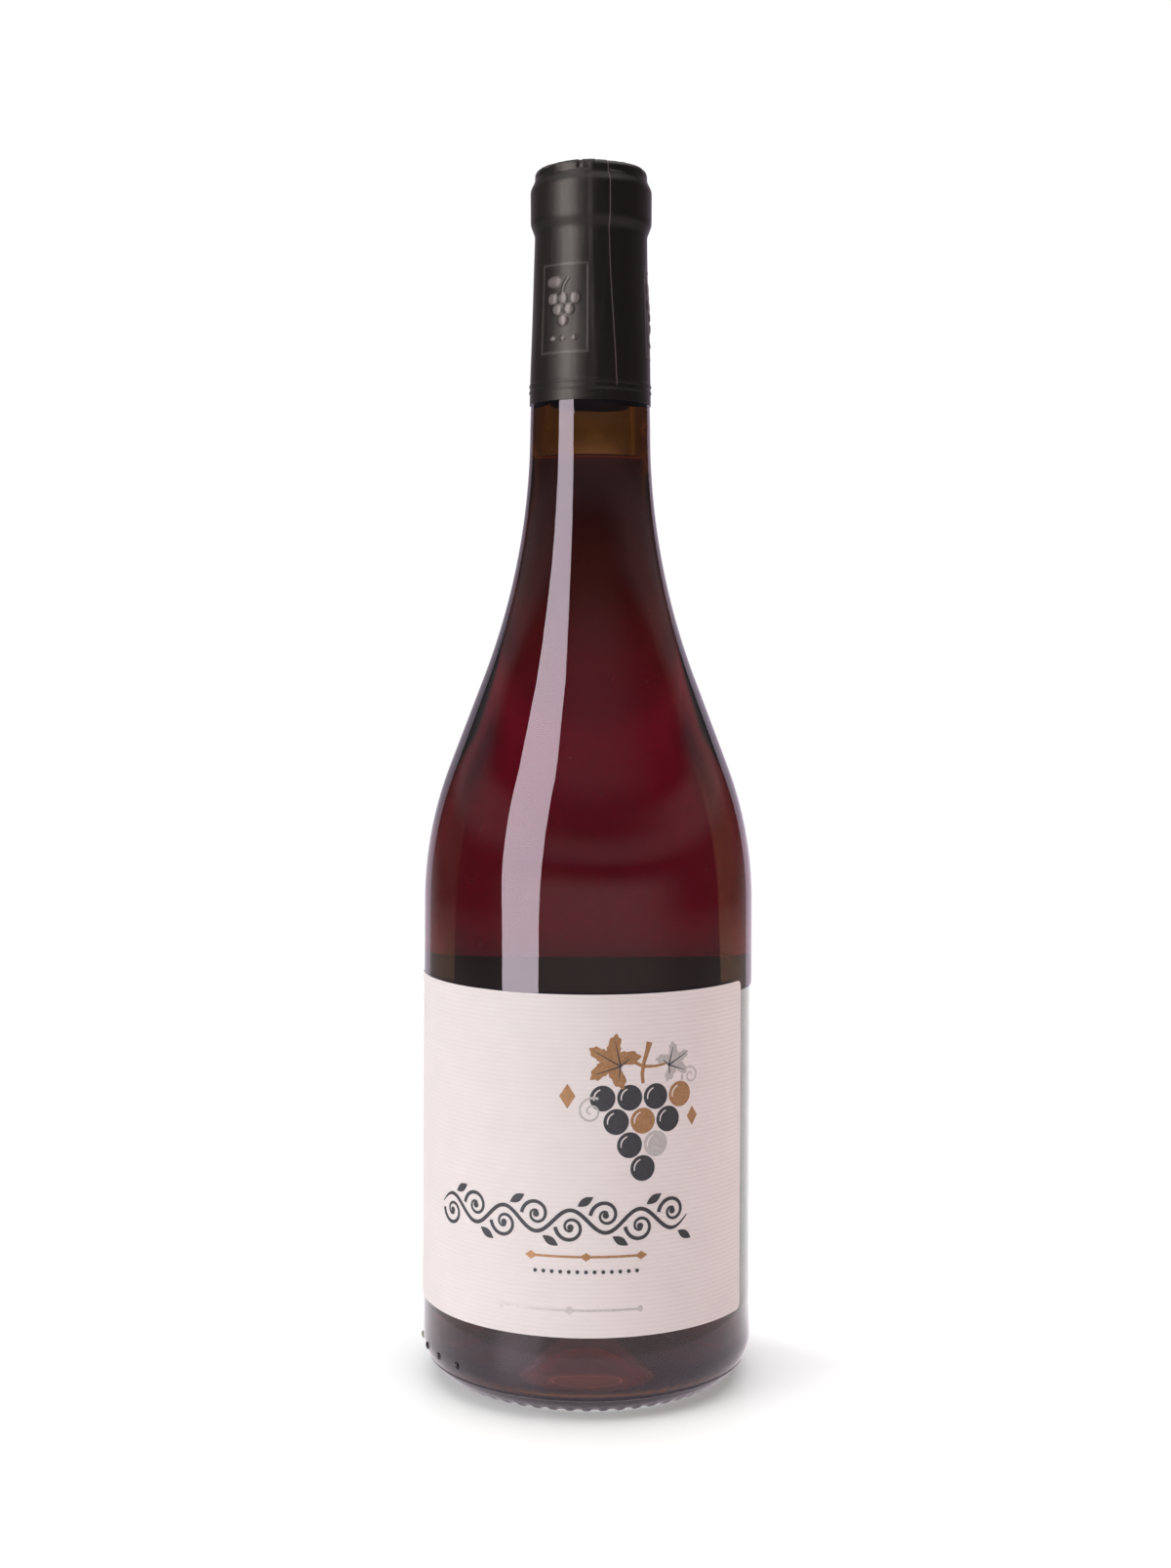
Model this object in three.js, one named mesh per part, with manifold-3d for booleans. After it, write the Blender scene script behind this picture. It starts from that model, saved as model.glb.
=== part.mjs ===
// A full, unopened 750 ml wine bottle with sloping shoulders, 300 mm tall and 82 mm across.
// It stands on its base.
// Millimetres, +Z up, origin at the middle of the base. The front of the bottle faces -Y.
// Five pieces: the glass, the wine in it, the shrunk capsule over its mouth, and two paper labels.

import * as THREE from "three";
import Module from "manifold-3d";
import { mergeVertices } from "three/addons/utils/BufferGeometryUtils.js";

const wasm = await Module();
wasm.setup();

const { degToRad } = THREE.MathUtils;

// The bottle's outline
const GLASS_HEIGHT = 300;
const BODY_RADIUS = 41;
const NECK_RADIUS = 15.1;
const NECK_FOOT = 234.8; // where the neck stops being straight and starts to widen
const SLOPE = degToRad(20.8); // the shoulder's steepest lean from the vertical
const SWEEP_RADIUS = 175; // the hollow curve under the neck
const SHOULDER_RADIUS = 94; // the full curve above the body

// The base
const HEEL_RADIUS = 10;
const FOOT_CLEARANCE = 0.4; // how far the heel's own curve stays above the table
const PUNT_RADIUS = 27;
const PUNT_DEPTH = 15;
const BASE_THICKNESS = 4.6;
const HEEL_LINE_HEIGHT = 5; // the raised line left by the mould's joint
const HEEL_LINE_SIZE = 0.3;

// The wall
const BODY_WALL = 2.3;
const NECK_WALL = 4.9;
const WALL_THICKENS_FROM = 150;
const BORE_RADIUS = 9.6;
const MOUTH_BORE_RADIUS = 9.25;
const MOUTH_CHAMFER = 1;
const CORK_SEAT_DEPTH = 50; // how far down the bore keeps the size that a cork needs

// The grip bars under the heel, and the mould's row of dots
const BAR_COUNT = 56;
const BAR_WIDTH = 1.7;
const BAR_INNER = 31.2;
const BAR_FLAT_TO = 33.6;
const BAR_OUTER = 37.4;
const BAR_SINK = 1; // how far a bar's outer end reaches into the glass
const DOT_COUNT = 6;
const DOT_WIDTH = 1.2;
const DOT_LENGTH = 1.65;
const DOT_PROUD = 0.5;
const DOT_HEIGHT = 8.5;
const FIRST_DOT = degToRad(-49.5);
const DOT_STEP = degToRad(-11.8);

// The wine
const FILL_LEVEL = 227.5;
const FIT_GAP = 0.05; // between the wine, the capsule and the glass

// The capsule
const CAPSULE_THICKNESS = 0.25;
const CAPSULE_RIM = 241;
const SKIRT_FOOT_RADIUS = 15.25;
const SKIRT_TOP_RADIUS = 14.12;
const SKIRT_TOP = 283.4;
const COLLAR_FOOT = 286.3; // the collar covers the glass ring under the mouth
const COLLAR_TOP = 294.8;
const COLLAR_HOLLOW = 0.2; // the film spans the step under the collar in a slight hollow
const COLLAR_RADIUS = 15.2;
const LIP_FOOT = 297.2;
const LIP_RADIUS = 14.05;
const LIP_ROUNDING = 1.9;
const FILLET_HEIGHTS = [244.1, 245.7]; // two fine raised lines near the rim
const FILLET_PROUD = 0.22;
const FILLET_HALF_WIDTH = 0.45;

// The labels
const LABEL_THICKNESS = 0.15;
const LABEL_GAP = 0.1;
const LABEL_BOTTOM = 20.1;
const LABEL_HEIGHT = 79.5;
const LABEL_CORNER = 1.5;
const FRONT_LABEL = { width: 108.5, turn: degToRad(-11.5) };
const BACK_LABEL = { width: 76, turn: degToRad(180) };

const SEGMENTS = 48;

// Even steps from one value to another, both ends included.
function steps(from, to, count) {
  return Array.from({ length: count + 1 }, (_, i) => from + ((to - from) * i) / count);
}

// The glass's outer radius at a height from the heel up to the capsule's rim.
const sweepEnd = {
  r: NECK_RADIUS + SWEEP_RADIUS * (1 - Math.cos(SLOPE)),
  z: NECK_FOOT - SWEEP_RADIUS * Math.sin(SLOPE),
};
const shoulderEndRadius = BODY_RADIUS - SHOULDER_RADIUS * (1 - Math.cos(SLOPE));
const shoulderEnd = sweepEnd.z - (shoulderEndRadius - sweepEnd.r) / Math.tan(SLOPE);
const bodyTop = shoulderEnd - SHOULDER_RADIUS * Math.sin(SLOPE);

function outerRadius(z) {
  if (z >= NECK_FOOT) return NECK_RADIUS;
  if (z >= sweepEnd.z) {
    return NECK_RADIUS + SWEEP_RADIUS - Math.sqrt(SWEEP_RADIUS ** 2 - (NECK_FOOT - z) ** 2);
  }
  if (z >= shoulderEnd) return sweepEnd.r + (sweepEnd.z - z) * Math.tan(SLOPE);
  if (z >= bodyTop) {
    return BODY_RADIUS - SHOULDER_RADIUS + Math.sqrt(SHOULDER_RADIUS ** 2 - (z - bodyTop) ** 2);
  }
  return BODY_RADIUS;
}

// The inner radius: the wall is thin in the body and grows towards the neck.
function innerRadius(z) {
  const share = THREE.MathUtils.smoothstep(z, WALL_THICKENS_FROM, NECK_FOOT);
  return outerRadius(z) - THREE.MathUtils.lerp(BODY_WALL, NECK_WALL, share);
}

// Heights that follow the shoulder and the sweep closely and skip the straight stretches.
function curveHeights(shoulderSteps, sweepSteps) {
  return [
    ...steps(bodyTop, shoulderEnd, shoulderSteps),
    ...steps(sweepEnd.z, NECK_FOOT, sweepSteps),
  ];
}

// The punt is the dent under the base: a bell that is flat at its top and at its rim.
function bell(radius, reach) {
  return PUNT_DEPTH * Math.cos((Math.PI / 2) * Math.min(radius / reach, 1)) ** 2;
}

// The heel's curve, a quarter circle from the foot up to the body.
function heelPoint(angle) {
  return new THREE.Vector2(
    BODY_RADIUS - HEEL_RADIUS + HEEL_RADIUS * Math.sin(angle),
    FOOT_CLEARANCE + HEEL_RADIUS * (1 - Math.cos(angle)),
  );
}

// The line round the heel stands proud of it along the heel's own normal.
function heelLine() {
  const middle = Math.acos(1 - (HEEL_LINE_HEIGHT - FOOT_CLEARANCE) / HEEL_RADIUS);
  const half = HEEL_LINE_SIZE / HEEL_RADIUS;
  const crest = heelPoint(middle);
  crest.x += HEEL_LINE_SIZE * Math.sin(middle);
  crest.y -= HEEL_LINE_SIZE * Math.cos(middle);
  return { from: middle - half, to: middle + half, crest };
}

// The finish of the glass under the capsule: the capsule's outline, less its thickness and a gap.
function capsuleOutline() {
  const corner = steps(0, Math.PI / 2, 3).map(
    (a) =>
      new THREE.Vector2(
        LIP_RADIUS - LIP_ROUNDING * (1 - Math.cos(a)),
        GLASS_HEIGHT + CAPSULE_THICKNESS + FIT_GAP - LIP_ROUNDING * (1 - Math.sin(a)),
      ),
  );
  return [
    new THREE.Vector2(SKIRT_FOOT_RADIUS, CAPSULE_RIM),
    new THREE.Vector2(SKIRT_TOP_RADIUS, SKIRT_TOP),
    new THREE.Vector2((SKIRT_TOP_RADIUS + COLLAR_RADIUS) / 2, (SKIRT_TOP + COLLAR_FOOT) / 2 + COLLAR_HOLLOW),
    new THREE.Vector2(COLLAR_RADIUS, COLLAR_FOOT),
    new THREE.Vector2(COLLAR_RADIUS, COLLAR_TOP),
    new THREE.Vector2(LIP_RADIUS, LIP_FOOT),
    ...corner,
  ];
}

// The same outline moved inwards, so that each side keeps its distance.
function inset(outline, distance) {
  return outline.map((p, i) => {
    const before = outline[Math.max(i - 1, 0)];
    const after = outline[Math.min(i + 1, outline.length - 1)];
    const along = after.clone().sub(before).normalize();
    return new THREE.Vector2(p.x - along.y * distance, p.y + along.x * distance);
  });
}

// A solid of revolution about the Z axis from an outline of radius and height.
function turned(outline) {
  return new THREE.LatheGeometry(outline, SEGMENTS).rotateX(Math.PI / 2);
}

// A closed geometry as a solid that can be joined, and back.
function solidOf(geometry) {
  const bare = geometry.clone();
  bare.deleteAttribute("normal");
  bare.deleteAttribute("uv");
  const merged = mergeVertices(bare, 1e-4);
  const corners = merged.index.array;
  const kept = [];
  for (let i = 0; i < corners.length; i += 3) {
    const [a, b, c] = [corners[i], corners[i + 1], corners[i + 2]];
    if (a !== b && b !== c && c !== a) kept.push(a, b, c);
  }
  return new wasm.Manifold(
    new wasm.Mesh({
      numProp: 3,
      vertProperties: new Float32Array(merged.attributes.position.array),
      triVerts: new Uint32Array(kept),
    }),
  );
}

function geometryOf(solid) {
  const mesh = solid.getMesh();
  const geometry = new THREE.BufferGeometry();
  geometry.setAttribute("position", new THREE.BufferAttribute(mesh.vertProperties, 3));
  geometry.setIndex(new THREE.BufferAttribute(mesh.triVerts, 1));
  return geometry;
}

// One grip bar: a short rib under the heel, flat where it stands on the table, fading into the heel's curve.
function gripBar(turn) {
  const heel = (radius) =>
    FOOT_CLEARANCE +
    HEEL_RADIUS -
    Math.sqrt(HEEL_RADIUS ** 2 - Math.max(radius - BODY_RADIUS + HEEL_RADIUS, 0) ** 2);
  const middle = (BAR_FLAT_TO + BAR_OUTER) / 2;
  const side = new THREE.Shape();
  side.moveTo(BAR_INNER, 0);
  side.lineTo(BAR_FLAT_TO, 0);
  side.lineTo(middle, heel(middle) - FOOT_CLEARANCE);
  side.lineTo(BAR_OUTER, heel(BAR_OUTER));
  side.lineTo(BAR_OUTER - BAR_SINK, heel(BAR_OUTER) + BAR_SINK);
  side.lineTo(BAR_INNER, 2 * FOOT_CLEARANCE);
  side.closePath();
  return new THREE.ExtrudeGeometry(side, { depth: BAR_WIDTH, bevelEnabled: false })
    .translate(0, 0, -BAR_WIDTH / 2)
    .rotateX(Math.PI / 2)
    .rotateZ(turn);
}

// One moulded dot on the heel, at an angle from the front, positive to the right.
function heelDot(angle) {
  const lean = Math.acos(1 - (DOT_HEIGHT - FOOT_CLEARANCE) / HEEL_RADIUS);
  const place = heelPoint(lean);
  return new THREE.SphereGeometry(1, 8, 5)
    .scale(DOT_PROUD, DOT_WIDTH / 2, DOT_LENGTH / 2)
    .rotateY(Math.PI / 2 - lean)
    .translate(place.x, 0, place.y)
    .rotateZ(angle - Math.PI / 2);
}

function bottleGlass() {
  const line = heelLine();
  const finish = inset(capsuleOutline(), CAPSULE_THICKNESS + FIT_GAP);
  const outside = [
    ...steps(0, PUNT_RADIUS, 6).map(
      (r) => new THREE.Vector2(r, FOOT_CLEARANCE + bell(r, PUNT_RADIUS)),
    ),
    heelPoint(0),
    ...steps(0, line.from, 3).slice(1).map(heelPoint),
    line.crest,
    ...steps(line.to, Math.PI / 2, 3).map(heelPoint),
    ...curveHeights(6, 8).map((z) => new THREE.Vector2(outerRadius(z), z)),
    ...finish,
  ];
  const inside = innerOutline(0, NECK_FOOT).reverse();
  const mouth = [
    new THREE.Vector2(MOUTH_BORE_RADIUS + MOUTH_CHAMFER, GLASS_HEIGHT),
    new THREE.Vector2(MOUTH_BORE_RADIUS, GLASS_HEIGHT - MOUTH_CHAMFER),
    new THREE.Vector2(BORE_RADIUS, GLASS_HEIGHT - CORK_SEAT_DEPTH),
  ];
  let glass = solidOf(turned([...outside, ...mouth, ...inside]));
  for (let i = 0; i < BAR_COUNT; i++) {
    glass = glass.add(solidOf(gripBar((2 * Math.PI * i) / BAR_COUNT)));
  }
  for (let i = 0; i < DOT_COUNT; i++) {
    glass = glass.add(solidOf(heelDot(FIRST_DOT + i * DOT_STEP)));
  }
  return geometryOf(glass);
}

// The inside of the glass from the top of the punt, out and up to a height, kept a distance clear of it.
function innerOutline(clear, top) {
  const floorReach = BODY_RADIUS - HEEL_RADIUS;
  const floor = FOOT_CLEARANCE + BASE_THICKNESS + clear;
  const wall = BODY_RADIUS - BODY_WALL - clear;
  const bend = wall - floorReach;
  const heights = curveHeights(4, 5).filter((z) => z < top - 1);
  return [
    ...steps(0, floorReach, 6).map((r) => new THREE.Vector2(r, floor + bell(r, floorReach))),
    ...steps(0, Math.PI / 2, 3)
      .slice(1)
      .map((a) => new THREE.Vector2(floorReach + bend * Math.sin(a), floor + bend * (1 - Math.cos(a)))),
    ...heights.map((z) => new THREE.Vector2(innerRadius(z) - clear, z)),
    new THREE.Vector2(innerRadius(top) - clear, top),
  ];
}

function wine() {
  return turned([...innerOutline(FIT_GAP, FILL_LEVEL), new THREE.Vector2(0, FILL_LEVEL)]);
}

// The two fine lines round the capsule near its rim, as points on its outline.
function filletLines(radiusAt) {
  return FILLET_HEIGHTS.flatMap((z) => [
    new THREE.Vector2(radiusAt(z - FILLET_HALF_WIDTH), z - FILLET_HALF_WIDTH),
    new THREE.Vector2(radiusAt(z) + FILLET_PROUD, z),
    new THREE.Vector2(radiusAt(z + FILLET_HALF_WIDTH), z + FILLET_HALF_WIDTH),
  ]);
}

function capsule() {
  const outline = capsuleOutline();
  const [foot, ...above] = outline;
  const skirtRadius = (z) =>
    THREE.MathUtils.mapLinear(z, CAPSULE_RIM, SKIRT_TOP, SKIRT_FOOT_RADIUS, SKIRT_TOP_RADIUS);
  const inner = inset(outline, CAPSULE_THICKNESS).reverse();
  return turned([
    new THREE.Vector2(0, inner[0].y),
    ...inner,
    foot,
    ...filletLines(skirtRadius),
    ...above,
    new THREE.Vector2(0, above.at(-1).y),
  ]);
}

// A paper label bent round the body, with rounded corners.
function label({ width, turn }) {
  const radius = BODY_RADIUS + LABEL_GAP;
  const corner = steps(0, Math.PI / 2, 3).map((a) => LABEL_CORNER * (1 - Math.cos(a)));
  const columns = [
    ...corner,
    ...steps(LABEL_CORNER, width - LABEL_CORNER, 20).slice(1, -1),
    ...corner.map((d) => width - d).reverse(),
  ];
  const last = columns.length - 1;
  const sheet = new THREE.BoxGeometry(last, 2, 2, last, 1, 1);
  const points = sheet.attributes.position;
  for (let i = 0; i < points.count; i++) {
    const along = columns[Math.round(points.getX(i) + last / 2)];
    const fromEnd = LABEL_CORNER - Math.min(along, width - along, LABEL_CORNER);
    const trimmed = LABEL_CORNER - Math.sqrt(LABEL_CORNER ** 2 - fromEnd ** 2);
    const r = radius + (points.getZ(i) > 0 ? LABEL_THICKNESS : 0);
    const angle = turn + (along - width / 2) / radius;
    const up = points.getY(i) * (LABEL_HEIGHT / 2 - trimmed);
    points.setXYZ(i, r * Math.sin(angle), -r * Math.cos(angle), LABEL_BOTTOM + LABEL_HEIGHT / 2 + up);
  }
  return sheet;
}

const materials = {
  glass: new THREE.MeshStandardMaterial({
    color: "#5a4a2c",
    roughness: 0.05,
    metalness: 0,
    transparent: true,
    opacity: 0.45,
  }),
  wine: new THREE.MeshStandardMaterial({ color: "#4c1218", roughness: 0.1, metalness: 0 }),
  capsule: new THREE.MeshStandardMaterial({ color: "#232021", roughness: 0.45, metalness: 0 }),
  paper: new THREE.MeshStandardMaterial({ color: "#ebe1dc", roughness: 0.85, metalness: 0 }),
};

const bottle = new THREE.Group();
function place(name, geometry, material) {
  const mesh = new THREE.Mesh(geometry, material);
  mesh.name = name;
  bottle.add(mesh);
}

place("glass_bottle", bottleGlass(), materials.glass);
place("wine", wine(), materials.wine);
place("capsule", capsule(), materials.capsule);
place("front_label", label(FRONT_LABEL), materials.paper);
place("back_label", label(BACK_LABEL), materials.paper);

export default bottle;
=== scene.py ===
# %% [markdown]
# # A full bottle of red wine
#
# The CAD frame holds five plain solids: the glass, the wine, the shrunk capsule and two labels.
# This lesson replaces each one by a finely shaped piece in the same place, gives it the finish of
# the real material, and lights it as a product is lit in a studio. The bottle's sizes are in
# millimetres below and are turned to metres at the moment that a mesh is made. The studio round it
# is laid out in metres.

# %% Load the frame
import math

import bmesh
import bpy
import numpy as np
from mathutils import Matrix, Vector
from mathutils.geometry import tessellate_polygon


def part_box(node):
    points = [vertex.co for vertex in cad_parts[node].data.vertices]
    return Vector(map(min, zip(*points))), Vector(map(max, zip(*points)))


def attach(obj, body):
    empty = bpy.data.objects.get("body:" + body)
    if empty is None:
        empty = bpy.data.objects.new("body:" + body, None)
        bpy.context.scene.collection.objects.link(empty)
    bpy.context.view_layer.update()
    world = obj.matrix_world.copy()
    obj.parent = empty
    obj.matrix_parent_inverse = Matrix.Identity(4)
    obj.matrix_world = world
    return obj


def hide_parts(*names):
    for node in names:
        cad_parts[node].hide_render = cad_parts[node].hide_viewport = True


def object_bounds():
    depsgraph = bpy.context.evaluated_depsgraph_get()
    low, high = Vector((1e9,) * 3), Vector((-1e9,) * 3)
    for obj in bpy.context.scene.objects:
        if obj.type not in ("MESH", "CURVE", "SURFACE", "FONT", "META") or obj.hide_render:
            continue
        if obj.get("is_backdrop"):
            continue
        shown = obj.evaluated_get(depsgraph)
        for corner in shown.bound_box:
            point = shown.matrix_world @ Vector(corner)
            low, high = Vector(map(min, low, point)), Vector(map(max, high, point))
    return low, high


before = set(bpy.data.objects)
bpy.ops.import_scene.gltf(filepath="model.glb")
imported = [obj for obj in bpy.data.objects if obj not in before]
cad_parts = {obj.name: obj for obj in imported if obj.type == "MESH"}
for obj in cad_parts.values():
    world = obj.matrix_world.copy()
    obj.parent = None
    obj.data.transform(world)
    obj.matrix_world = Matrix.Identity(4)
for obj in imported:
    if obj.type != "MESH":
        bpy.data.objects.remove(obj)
cad_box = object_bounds()
MM = 0.001

print("nodes in the frame:", sorted(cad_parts))

# %% [markdown]
# ## Sizes from the frame
#
# A turned object is described by radii and heights, so the few that drive everything are read from
# the boxes of the CAD solids. The heel has moulded dots on its left, which widen the glass's box
# along X, so the body's radius is read along Y.

# %% Read the driving sizes


def low_high(node):
    """The lowest and highest corner of a CAD solid, in millimetres."""
    low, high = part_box(node)
    return np.array(low) / MM, np.array(high) / MM


_, glass_high = low_high("glass_bottle")
_, wine_high = low_high("wine")
capsule_low, capsule_high = low_high("capsule")
label_low, label_high = low_high("front_label")

BODY_RADIUS = glass_high[1]
GLASS_HEIGHT = glass_high[2]
FILL_LEVEL = wine_high[2]
CAPSULE_RIM = capsule_low[2]
CAPSULE_TOP = capsule_high[2]
LABEL_BOTTOM = label_low[2]
LABEL_HEIGHT = label_high[2] - label_low[2]
print(f"body {BODY_RADIUS:.1f}, height {GLASS_HEIGHT:.1f}, wine up to {FILL_LEVEL:.1f}")
print(f"capsule from {CAPSULE_RIM:.1f} to {CAPSULE_TOP:.1f}, label {LABEL_HEIGHT:.1f} high")

# %% [markdown]
# ## The camera
#
# The bend of the label's edges in the photograph says how near the camera stood: about half a metre
# from the bottle's axis, with the horizon at the middle of the shoulder. The bottle's sides stay
# upright in the picture, so the camera looks level and the frame is shifted down, as a view camera
# does it. A quarter of a degree of roll matches the bottle's slight lean.

# %% Place the camera
PHOTO_WIDTH, PHOTO_HEIGHT = 1200, 1607
FOCAL_LENGTH_PX = 2092.3
HORIZON_ROW = 676.6
AXIS_COLUMN = 603.9  # the bottle's axis where it crosses the horizon
CAMERA_DISTANCE = 513.8
CAMERA_HEIGHT = 177.1
LEAN = math.radians(0.23)
SENSOR = 36.0

lens = bpy.data.cameras.new("camera")
lens.sensor_width = SENSOR
lens.lens = SENSOR * FOCAL_LENGTH_PX / PHOTO_HEIGHT
lens.shift_y = (HORIZON_ROW - PHOTO_HEIGHT / 2) / PHOTO_HEIGHT
lens.clip_start = 0.01
camera = bpy.data.objects.new("camera", lens)
aside = (PHOTO_WIDTH / 2 - AXIS_COLUMN) / FOCAL_LENGTH_PX * CAMERA_DISTANCE
camera.location = Vector((aside, -CAMERA_DISTANCE, CAMERA_HEIGHT)) * MM
camera.rotation_euler = (math.pi / 2, -LEAN, 0)
scene = bpy.context.scene
scene.collection.objects.link(camera)
scene.camera = camera
print(f"lens {lens.lens:.1f} mm, frame shifted by {lens.shift_y:.3f}")

# %% [markdown]
# ## One helper for nodes, one for colours
#
# Every material below is a small network of nodes. Adding a node always means the same three
# things: set its options, fill some of its sockets, link the others. So one function does that for
# every kind of node. Colours are written as they look on a screen, in sRGB hex, and one function
# turns them to the linear values that a renderer works in.

# %% Colour and node helpers


def linear(hex_colour):
    """A screen colour such as #ebe1dc as linear red, green, blue and alpha."""
    channels = [int(hex_colour[i : i + 2], 16) / 255 for i in (1, 3, 5)]
    return [c / 12.92 if c <= 0.04045 else ((c + 0.055) / 1.055) ** 2.4 for c in channels] + [1.0]


def wire(tree, node, inputs):
    """Fill a node's sockets: another node's output is linked, anything else is set."""
    for socket, value in inputs.items():
        if isinstance(value, bpy.types.NodeSocket):
            tree.links.new(value, node.inputs[socket])
        else:
            node.inputs[socket].default_value = value
    return node


def add(tree, kind, options=None, inputs=None):
    """Add one node with its options and its sockets' values and links."""
    node = tree.nodes.new("ShaderNode" + kind)
    for option, value in (options or {}).items():
        setattr(node, option, value)
    return wire(tree, node, inputs or {})


def material(name):
    """A new material with its node tree and its Principled shader."""
    made = bpy.data.materials.new(name)
    made.use_nodes = True
    return made, made.node_tree, made.node_tree.nodes["Principled BSDF"]


print("mid grey #808080 is", round(linear("#808080")[0], 3), "in linear light")

# %% [markdown]
# ## The studio
#
# Glass shows its surroundings more than itself, so the studio is designed first. The room is dim
# and a little mauve, brightest low down, and the camera itself sees plain white behind the bottle.
# The world plays the room's walls. Each wall is a table of brightness by the rise of a ray, which
# is the upward part of its direction. That is how a turned bottle sorts its reflections: the body
# mirrors what lies level or lower, and the slope of the shoulder mirrors what stands higher.

# %% Make the world
REAR_WALL = {-0.10: 0.36, 0.06: 0.05}
SIDE_WALLS = {-0.17: 0.31, -0.09: 0.07, 0.12: 0.07, 0.24: 0.28, 0.36: 0.28, 0.46: 0.042}
FRONT_WALL = {0: 0.45, 0.13: 0.07, 0.19: 0.27, 0.24: 0.27, 0.34: 0.09, 0.42: 0.09, 0.60: 0.24}
FRONT_SHARE = {-0.95: 1, -0.2: 0}  # how much of the front wall shows, by the ray's part along Y
REAR_SHARE = {0.55: 0, 0.85: 1}
WHITE_BACKDROP = 1.02
WALL_TINT = "#faf5ff"


def curve(tree, value, table, unit=1.0, easing="EASE"):
    """A smooth curve through a table of levels by place. The places are in the given unit."""
    places = list(table)
    ends = {"Value": value, 1: places[0] * unit, 2: places[-1] * unit}
    share = add(tree, "MapRange", {}, ends).outputs[0]
    line = add(tree, "ValToRGB", {}, {"Fac": share})
    stops = line.color_ramp.elements
    stops.remove(stops[1])
    for place, level in table.items():
        along = (place - places[0]) / (places[-1] - places[0])
        stop = stops[0] if place == places[0] else stops.new(along)
        stop.color = (level, level, level, 1)
    line.color_ramp.interpolation = easing
    return line.outputs[0]


world = bpy.data.worlds.new("studio_walls")
scene.world = world
world.use_nodes = True
tree = world.node_tree
direction = add(tree, "TexCoord").outputs["Generated"]
_, depth, rise = add(tree, "SeparateXYZ", {}, {"Vector": direction}).outputs
rear, sides, front = [curve(tree, rise, wall) for wall in (REAR_WALL, SIDE_WALLS, FRONT_WALL)]
ahead, behind = [curve(tree, depth, share) for share in (FRONT_SHARE, REAR_SHARE)]
room = add(tree, "Mix", {}, {"Factor": ahead, "A": sides, "B": front}).outputs[0]
walls = add(tree, "Mix", {}, {"Factor": behind, "A": room, "B": rear}).outputs[0]
seen = add(tree, "LightPath").outputs["Is Camera Ray"]
level = add(tree, "Mix", {}, {"Factor": seen, "A": walls, "B": WHITE_BACKDROP}).outputs[0]
tints = {"Factor": seen, 6: linear(WALL_TINT), 7: linear("#ffffff")}
tint = add(tree, "Mix", {"data_type": "RGBA"}, tints).outputs[2]
wire(tree, tree.nodes["Background"], {"Color": tint, "Strength": level})
print("front wall by rise:", FRONT_WALL)

# %% [markdown]
# A softbox is a white cloth with lamps behind it, so it is an area light with a real width and
# height. Each one is placed by its direction from the bottle and its distance, and aimed at the
# bottle's middle. Its strength is given as brightness of the cloth. An area light's power in watts
# is four times its area times that brightness. Each box is hidden from the kinds of ray that it
# isn't there for: the strip only draws the streak, the fills only light paper and film, and the
# two cards behind only draw the bottle's light edges.

# %% Hang the softboxes
TARGET = Vector((0, 0, 0.12))
# Azimuth in degrees, height, distance, width, tallness, brightness, colour, rays that miss it.
# Azimuth 0 is the camera's side and 90 its right.
SOFTBOXES = {
    "key_strip": (-47, 0.50, 1.15, 0.64, 1.50, 7.6, "#fffefb", ("diffuse", "transmission")),
    "key_fill": (-62, 0.70, 1.30, 0.90, 1.10, 2.2, "#fbf8fa", ("glossy", "transmission")),
    "top_cloth": (180, 1.50, 0.10, 1.80, 1.80, 1.6, "#fdfffd", ("transmission",)),
    "right_fill": (75, 0.30, 1.10, 0.60, 0.90, 0.62, "#ff5f3e", ("glossy", "transmission")),
    "right_card": (160, 0.30, 1.10, 0.70, 1.00, 0.55, "#ecd8f0", ("diffuse", "transmission")),
    "left_card": (-160, 0.30, 1.10, 0.70, 1.00, 0.38, "#f1dff6", ("diffuse", "transmission")),
}


def area_lamp(name, shape, size, area, brightness, colour, missed_by):
    """An area light with the given brightness, which the camera doesn't see."""
    light = bpy.data.lights.new(name, "AREA")
    light.shape = shape
    light.size, light.size_y = size
    light.energy = 4 * area * brightness
    light.color = linear(colour)[:3]
    lamp = bpy.data.objects.new(name, light)
    for ray in ("camera", *missed_by):
        setattr(lamp, "visible_" + ray, False)
    scene.collection.objects.link(lamp)
    print(f"{name}: {light.energy:.1f} W")
    return lamp


for name, (azimuth, height, distance, width, tall, *light) in SOFTBOXES.items():
    box = area_lamp(name, "RECTANGLE", (width, tall), width * tall, *light)
    angle = math.radians(azimuth)
    box.location = (distance * math.sin(angle), -distance * math.cos(angle), height)
    box.rotation_euler = (TARGET - box.location).to_track_quat("-Z", "Y").to_euler()

# %% [markdown]
# The table is a plain white disc whose glow is painted light. The glow is brightest under the foot,
# where it lights the heel from below and keeps the shadow round the foot soft. A slightly darker ring
# just beside the foot is a painted contact shadow, and a brighter part at its right rear is a painted
# pool of light, which the bottle's right side mirrors. A flat lamp at the foot adds the mauve tone in
# the heel and its grip bars, and lights nothing else. Light that has come through the bottle doesn't
# see the table, so that only the card behind decides how the wine glows.

# %% Lay the table
TABLE_RADIUS = 0.62
# Painted light: the glow is brightest under the foot and dips to a painted shadow ring at 34 mm.
GLOW_AND_PAINTED_SHADOW_BY_RADIUS = {0: 0.7, 30: 0.7, 34: 0.30, 46: 0.38, 70: 0.47}  # by millimetres from the axis
# A painted pool of light at the table's right rear, which the bottle's right side mirrors.
RIGHT_REAR = (0.50, 0.87, 0.0)
PAINTED_POOL_TO_RIGHT_REAR = {30: 0.0, 90: 0.9}  # added, by millimetres in that direction
GRAIN = 1.4  # millimetres
FOOT_LIGHT_RADIUS = 0.085
FOOT_LIGHT_HEIGHT = 0.0002
FOOT_LIGHT_BRIGHTNESS = 0.32


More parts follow.
